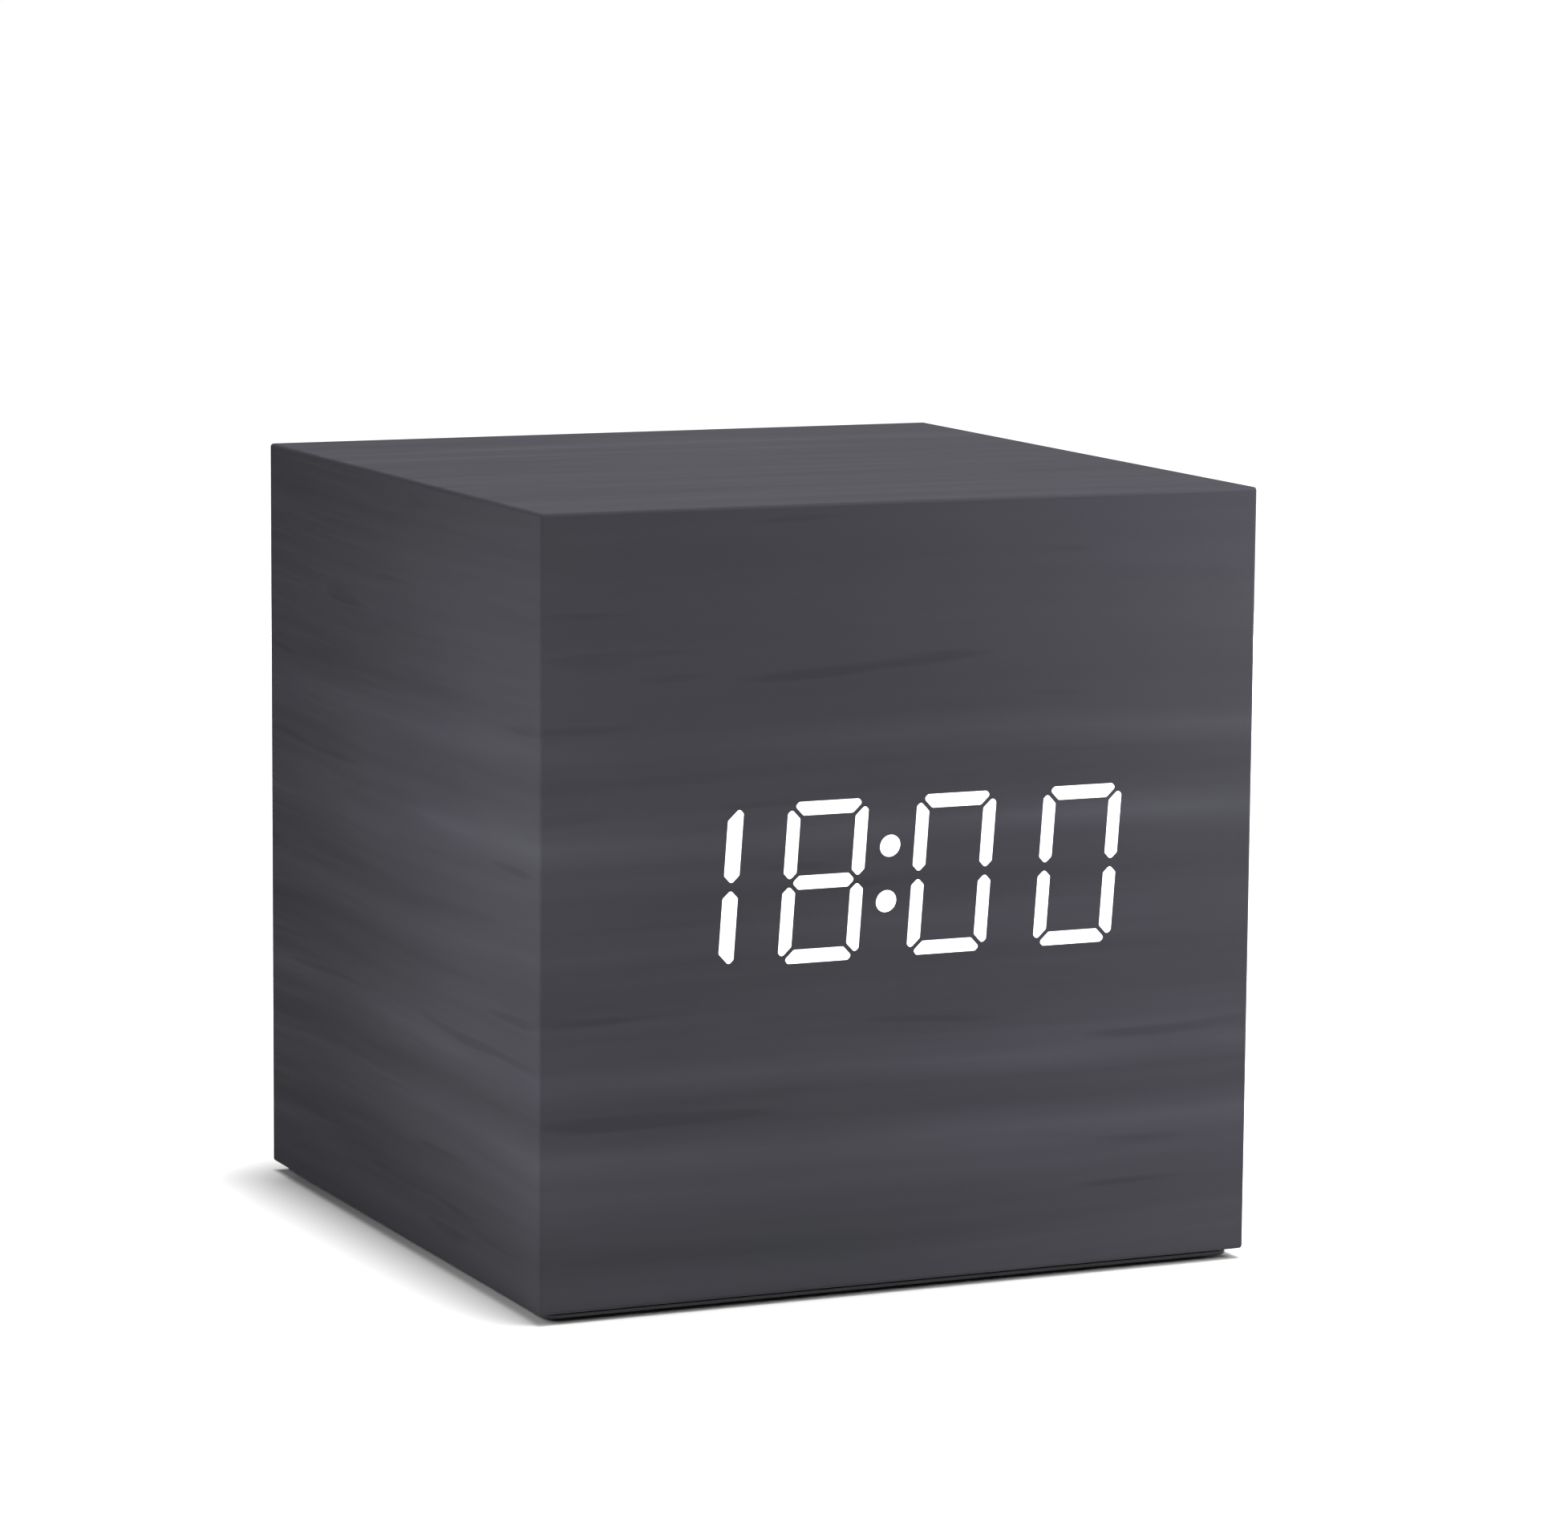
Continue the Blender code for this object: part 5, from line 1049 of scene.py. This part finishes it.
def buildContacts():
    look = contactLook
    cellHeight = middle("battery_1").z
    plateLow, plateHigh = (corner.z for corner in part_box("contact_bridge_left"))
    ys = [middle("battery_" + str(index + 1)).y for index in range(3)]
    plan = {  # side, cells with a spring, cells with a dimple, and if it has a solder tab
        "contact_positive": (-1, [], [0], True), "contact_negative": (1, [2], [], True),
        "contact_bridge_right": (1, [0], [1], False), "contact_bridge_left": (-1, [1], [2], False),
    }
    for node, (side, sprung, dimpled, tabbed) in plan.items():
        low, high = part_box(node)
        outer = low.x if side < 0 else high.x
        inner = outer - side * look["thick"]
        near, far = sorted((outer, inner))
        name = node.title().replace("_", "")
        piece = newPiece(name, boxMesh((near, low.y, plateLow), (far, high.y, plateHigh)))
        if tabbed:
            y = ys[(sprung or dimpled)[0]]
            carve(piece, [boxMesh((near, y - look["tabWide"] / 2, cellHeight),
                                  (far, y + look["tabWide"] / 2, high.z))], "UNION")
        roundEdges(piece, look["edge"])
        others = []
        for index in dimpled:
            profile = eased([(0, look["dimpleHeight"]),
                             (look["dimple"] * look["dimpleTop"], look["dimpleHeight"]),
                             (look["dimple"], 0), (look["dimple"], -look["edge"]),
                             (0, -look["edge"])], look["dimple"] / 3)
            turn = Matrix.Rotation(-side * quarterTurn, 4, "Y")
            others.append(turnedMesh(profile, look["dimpleSides"], Matrix.Translation(
                (inner, ys[index], cellHeight)) @ turn))
        for index in sprung:
            spring = newPiece(name + "Spring", pointMesh("spring", [
                ((inner, ys[index], cellHeight), (0, -side * quarterTurn, 0))]))
            growTree(spring, trees["springs"], {
                "Turns": look["turns"], "Wide Radius": look["springWide"],
                "Narrow Radius": look["springNarrow"], "Wire Radius": look["wire"],
                "Coil Steps": look["coilSteps"], "Wire Sides": look["wireSides"],
                "Length": look["springLength"] - look["wire"], "Material": finishes["nickel"]})
            others.append(takeMesh(spring))
        addMeshes(piece, others)
        setFinish(piece, finishes["nickel"])
        shadeRound(piece.data)
        finishPiece(piece, "case", "nickel", node)


# Controls at the back

buttonLook = {"radius": 0.0030, "capLength": 0.0034, "ease": 0.0005, "dish": 0.0002,
              "dishShare": 0.82, "dishSteps": 6, "sides": 72}
knobLook = {"edge": 0.00018, "ridges": 3, "ridgePitch": 0.0006, "ridgeWide": 0.00022,
            "ridgeHigh": 0.00012}
inletLook = {"bore": 0.0018, "snout": 0.0028, "depth": 0.0085, "pin": 0.00065,
             "pinSetBack": 0.0012, "snoutLength": 0.0030, "edge": 0.0002, "mouth": 0.0003,
             "rimEase": 0.0001, "rootShare": 1.5, "pinSink": 0.0002, "pinRound": 0.7,
             "pinSides": 32}


def buildButtons():
    look = buttonLook
    radius, steps = look["radius"], look["dishSteps"]
    for name in buttonNames:
        node = name + "_button_cap"
        low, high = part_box(node)
        flange, face = (high.x - low.x) / 2, high.y - low.y
        flangeTop = face - look["capLength"]
        profile = [(radius * look["dishShare"] * step / steps,
                    face - look["dish"] * math.cos(quarterTurn * step / steps))
                   for step in range(steps + 1)]
        profile += eased([profile[-1], (radius, face), (radius, flangeTop)], look["ease"])[1:]
        profile += [(flange, flangeTop), (flange, 0), (0, 0)]
        place = middle(node)
        place.y = low.y
        cap = placeCopies(name.title() + "ButtonCap", turnedMesh(profile, look["sides"]),
                          [(place, (-quarterTurn, 0, 0))], finishes["glossPlastic"])
        finishPiece(cap, name + "_button", "black_plastic", node)


def buildKnob():
    look = knobLook
    low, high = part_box("sound_switch_knob")
    centre = middle("sound_switch_knob")
    high = high - Vector((0, look["ridgeHigh"], 0))
    knob = newPiece("soundSwitchKnob", boxMesh(low, high))
    ridges = []
    for index in range(look["ridges"]):
        x = centre.x + (index - (look["ridges"] - 1) / 2) * look["ridgePitch"]
        ridges.append(boxMesh((x - look["ridgeWide"] / 2, high.y - look["ridgeWide"],
                               low.z + look["edge"]),
                              (x + look["ridgeWide"] / 2, high.y + look["ridgeHigh"],
                               high.z - look["edge"])))
    roundEdges(knob, look["edge"])
    carve(knob, ridges, "UNION")
    shadeRound(knob.data)
    setFinish(knob, finishes["glossPlastic"])
    finishPiece(knob, "sound_switch", "black_plastic", "sound_switch_knob")


def buildInlet():
    look = inletLook
    low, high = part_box("dc_jack")
    centre = middle("dc_jack")
    block = newPiece("powerInlet", boxMesh(low, (high.x, high.y - look["snoutLength"], high.z)))
    roundEdges(block, look["edge"])
    wide, bore, depth, mouth = look["snout"], look["bore"], look["depth"], look["mouth"]
    root, ease = -look["snoutLength"] * look["rootShare"], look["rimEase"]
    snout = [(0, 0), (wide - ease, 0), (wide, -ease), (wide, root), (0, root)]
    hole = [(0, wide), (bore + mouth + wide, wide), (bore + mouth, 0), (bore, -mouth),
            (bore, -depth), (0, -depth)]
    turn = Matrix.Rotation(-quarterTurn, 4, "X")
    place = Matrix.Translation((centre.x, high.y, centre.z)) @ turn
    carve(block, [turnedMesh(snout, place=place)], "UNION")
    carve(block, [turnedMesh(hole, place=place)])
    foot = -depth - look["pinSink"]
    pin = eased([(0, -look["pinSetBack"]), (look["pin"], -look["pinSetBack"]),
                 (look["pin"], foot), (0, foot)], look["pin"] * look["pinRound"])
    ownFaces = addMeshes(block, [turnedMesh(pin, look["pinSides"], place)])
    setFinish(block, finishes["blackPlastic"], finishes["nickel"])
    for face in block.data.polygons[ownFaces:]:
        face.material_index = 1
    shadeRound(block.data)
    finishPiece(block, "case", "black_plastic", "dc_jack")


# Boards, wiring and small parts inside

boardLook = {"thick": 0.0016, "surface": 0.00005}
chipLook = {"halfLong": 0.009, "halfWide": 0.00375, "edge": 0.00015, "legs": 8,
            "legWide": 0.0005, "legThick": 0.0002, "legOut": 0.0004, "foot": 0.0011,
            "markRadius": 0.0005, "markDepth": 0.0001, "markSides": 32}
smallPartLook = {"size": (0.0020, 0.0012, 0.0006), "cap": 0.0004, "edge": 0.00006,
                 "first": (0.0195, 0.034), "pitch": (0.0042, 0.0036), "columns": 2, "rows": 6}
microphoneLook = {"rim": 0.0006, "feltDepth": 0.00025, "ease": 0.0003, "sides": 64}
wireLook = {
    "ribbonWires": 14, "ribbonThick": 0.0009, "steps": 48, "sides": 20, "lead": 0.0013,
    "leadRise": 0.016, "leadSpread": 0.023, "leadAboveEdge": 0.004, "tabMiddle": 0.00045,
    "gap": 0.0003, "joint": 0.0010, "jointHeight": 0.0007,
    "jointSteps": 8, "jointSides": 40,
}


def buildBoards():
    for name, node in (("displayBoard", "display_board"), ("mainBoard", "main_board")):
        board = softCopy(name, node, 0)
        display = node == "display_board"
        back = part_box(node)[1].y
        if display:  # its socket reaches back, its diodes reach forward
            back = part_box("display_reflector")[1].y + wireLook["gap"] + boardLook["thick"]
        front, skin = back - boardLook["thick"], boardLook["surface"]
        setFinish(board, finishes["circuitGreen"], finishes["socketNylon"],
                  finishes["diodeLens"])
        finishWhere(board, 1, lambda centre, normal: centre.y > back + skin)
        finishWhere(board, 2 if display else 1,
                    lambda centre, normal: centre.y < front - skin)
        finishPiece(board, "case", "circuit", node)


def buildChip():
    look = chipLook
    low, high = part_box("clock_chip")
    centre = middle("clock_chip")
    tall = high.y - low.y
    body = newPiece("clockChip", boxMesh(
        (centre.x - look["halfLong"], low.y, centre.z - look["halfWide"]),
        (centre.x + look["halfLong"], high.y, centre.z + look["halfWide"])))
    roundEdges(body, look["edge"])
    mark = turnedMesh([(0, look["edge"]), (look["markRadius"], look["edge"]),
                       (look["markRadius"], -look["markDepth"]), (0, -look["markDepth"])],
                      look["markSides"])
    mark.transform(Matrix.Translation((
        centre.x - look["halfLong"] + 3 * look["markRadius"], low.y,
        centre.z - look["halfWide"] + 3 * look["markRadius"])) @ toFront)
    carve(body, [mark])
    half, thick, out = look["legWide"] / 2, look["legThick"], look["legOut"]
    leg = newPiece("leg", boxMesh((-half, -thick, tall / 2 - thick), (half, out, tall / 2)))
    carve(leg, [boxMesh((-half, out - thick, 0), (half, out, tall / 2)),
                boxMesh((-half, out - thick, 0), (half, look["foot"], thick))], "UNION")
    pitch = 2 * look["halfLong"] / look["legs"]
    places = []
    for side in (-1, 1):
        for index in range(look["legs"]):
            x = centre.x + (index - (look["legs"] - 1) / 2) * pitch
            z = centre.z + side * look["halfWide"]
            turn = (quarterTurn, 0, 0) if side > 0 else (quarterTurn, 2 * quarterTurn, 0)
            places.append(((x, high.y, z), turn))
    legs = placeCopies("chipLegs", takeMesh(leg), places, finishes["nickel"])
    ownFaces = addMeshes(body, [takeMesh(legs)])
    setFinish(body, finishes["blackPlastic"], finishes["nickel"])
    for face in body.data.polygons[ownFaces:]:
        face.material_index = 1
    shadeRound(body.data)
    finishPiece(body, "case", "black_plastic", "clock_chip")


def buildSmallParts():  # rows of tiny resistors and capacitors beside the chip
    look = smallPartLook
    longWay, wide, tall = look["size"]
    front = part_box("main_board")[1].y - boardLook["thick"]
    for kind, finish in enumerate(("blackPlastic", "tanCeramic")):
        block = boxMesh((-longWay / 2, -wide / 2, 0), (longWay / 2, wide / 2, tall))
        seam = longWay / 2 - look["cap"]
        bm = bmesh.new()
        bm.from_mesh(block)
        for x in (-seam, seam):
            bmesh.ops.bisect_plane(bm, geom=bm.verts[:] + bm.edges[:] + bm.faces[:],
                                   plane_co=(x, 0, 0), plane_no=(1, 0, 0))
        part = newPiece("part", meshFrom(bm))
        roundEdges(part, look["edge"])
        places = []
        for row in range(look["rows"]):
            for column in range(look["columns"]):
                if (row + column) % 2 == kind:
                    places.append(((look["first"][0] + column * look["pitch"][0], front,
                                    look["first"][1] + row * look["pitch"][1]),
                                   (quarterTurn, 0, 0)))
        parts = placeCopies("capacitors" if kind else "resistors", takeMesh(part), places,
                            finishes[finish], finishes["zincSteel"],
                            lambda centre, normal: abs(centre.x) > seam)
        finishPiece(parts, "case", "circuit")


def buildMicrophone():
    look = microphoneLook
    low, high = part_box("microphone")
    radius, tall = (high.x - low.x) / 2, high.y - low.y
    rim = radius - look["rim"]
    profile = [(0, tall - look["feltDepth"]), (rim, tall - look["feltDepth"])]
    profile += eased([(rim, tall - look["feltDepth"]), (rim, tall), (radius, tall),
                      (radius, 0), (0, 0)], look["ease"])[1:]
    can = placeCopies("microphoneCan", turnedMesh(profile, look["sides"]),
                      [((middle("microphone").x, low.y, middle("microphone").z),
                        (-quarterTurn, 0, 0))], finishes["zincSteel"], finishes["blackFelt"],
                      lambda centre, normal: (math.hypot(centre.x, centre.y) < rim
                                              and centre.z > tall / 2))
    finishPiece(can, "case", "steel", "microphone")


def sweepLines(name, lines, radius, material):
    piece = newPiece(name, lineMesh(lines))
    growTree(piece, trees["wires"], {"Radius": radius, "Sides": wireLook["sides"],
                                     "Material": material})
    shadeRound(piece.data)
    return piece


def buildWires():
    look = wireLook
    low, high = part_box("display_ribbon_cable")
    wire = (high.x - low.x) / look["ribbonWires"]
    top, sag = high.z - look["ribbonThick"] / 2, high.z - low.z - look["ribbonThick"]
    lines = []
    for index in range(look["ribbonWires"]):
        x = low.x + (index + 0.5) * wire
        lines.append([(x, low.y + (high.y - low.y) * step / look["steps"],
                       top - sag * math.sin(math.pi * step / look["steps"]) ** 2)
                      for step in range(look["steps"] + 1)])
    ribbon = sweepLines("ribbonCable", lines, wire / 2, finishes["greyRibbon"])
    setFinish(ribbon, finishes["greyRibbon"], finishes["redWire"])
    finishWhere(ribbon, 1, lambda centre, normal: centre.x < low.x + wire)
    finishPiece(ribbon, "case", "grey_ribbon", "display_ribbon_cable")
    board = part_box("main_board")
    front = board[1].y - boardLook["thick"]
    joints = []
    for colour, side, contact, cell in (("red", -1, "contact_positive", "battery_1"),
                                        ("black", 1, "contact_negative", "battery_3")):
        tabLow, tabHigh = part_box(contact)
        outer = tabLow.x if side < 0 else tabHigh.x
        start = Vector((outer - side * look["tabMiddle"], middle(cell).y,
                        tabHigh.z + look["gap"]))
        end = Vector((side * look["leadSpread"], front - look["gap"],
                      board[0].z + look["leadAboveEdge"]))
        rise = start + Vector((0, 0, look["leadRise"]))
        reach = end - Vector((0, (end.y - start.y) / 2, 0))
        line = interpolate_bezier(start, rise, reach, end, look["steps"] + 1)
        lead = sweepLines(colour + "Lead", [line], look["lead"] / 2, finishes[colour + "Wire"])
        finishPiece(lead, "case", colour + "_wire", "battery_lead_" + colour)
        joints.append(((end.x, front, end.z), (quarterTurn, 0, 0)))
        joints.append((start - Vector((0, 0, look["jointHeight"])), (0, 0, 0)))
    joint = domed(look["joint"], look["jointHeight"], steps=look["jointSteps"]) + [(0, 0)]
    solder = placeCopies("solderJoints", turnedMesh(joint, look["jointSides"]), joints,
                         finishes["zincSteel"])
    finishPiece(solder, "case", "steel")


# Everything that keeps its CAD shape takes its finish here

keptFinishes = {
    "corner_block_": "blockWood", "display_reflector": "blackPlastic",
    "_plunger": "glossPlastic", "_switch": "blackPlastic", "sound_switch_body": "zincSteel",
    "quartz_crystal": "zincSteel", "buzzer": "blackPlastic",
}


def finishKeptNodes():
    for name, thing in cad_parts.items():
        if thing.hide_render:
            continue
        for part, finish in keptFinishes.items():
            if part in name:
                setFinish(thing, finishes[finish])


placeCamera()
buildStage()
placeLamps()
print("stage ready")
trees = {"copies": copiesTree(), "strokes": strokesTree(), "wires": wiresTree(),
         "springs": springsTree()}
finishes = makeMaterials()
print("materials ready")
buildCase()
print("case ready")
buildGuides()
print("figures ready")
buildBase()
buildFeet()
buildScrews()
print("base ready")
buildCells()
buildContacts()
print("cells ready")
buildButtons()
buildKnob()
buildInlet()
print("controls ready")
buildBoards()
buildChip()
buildSmallParts()
buildMicrophone()
buildWires()
print("inner parts ready")
finishKeptNodes()
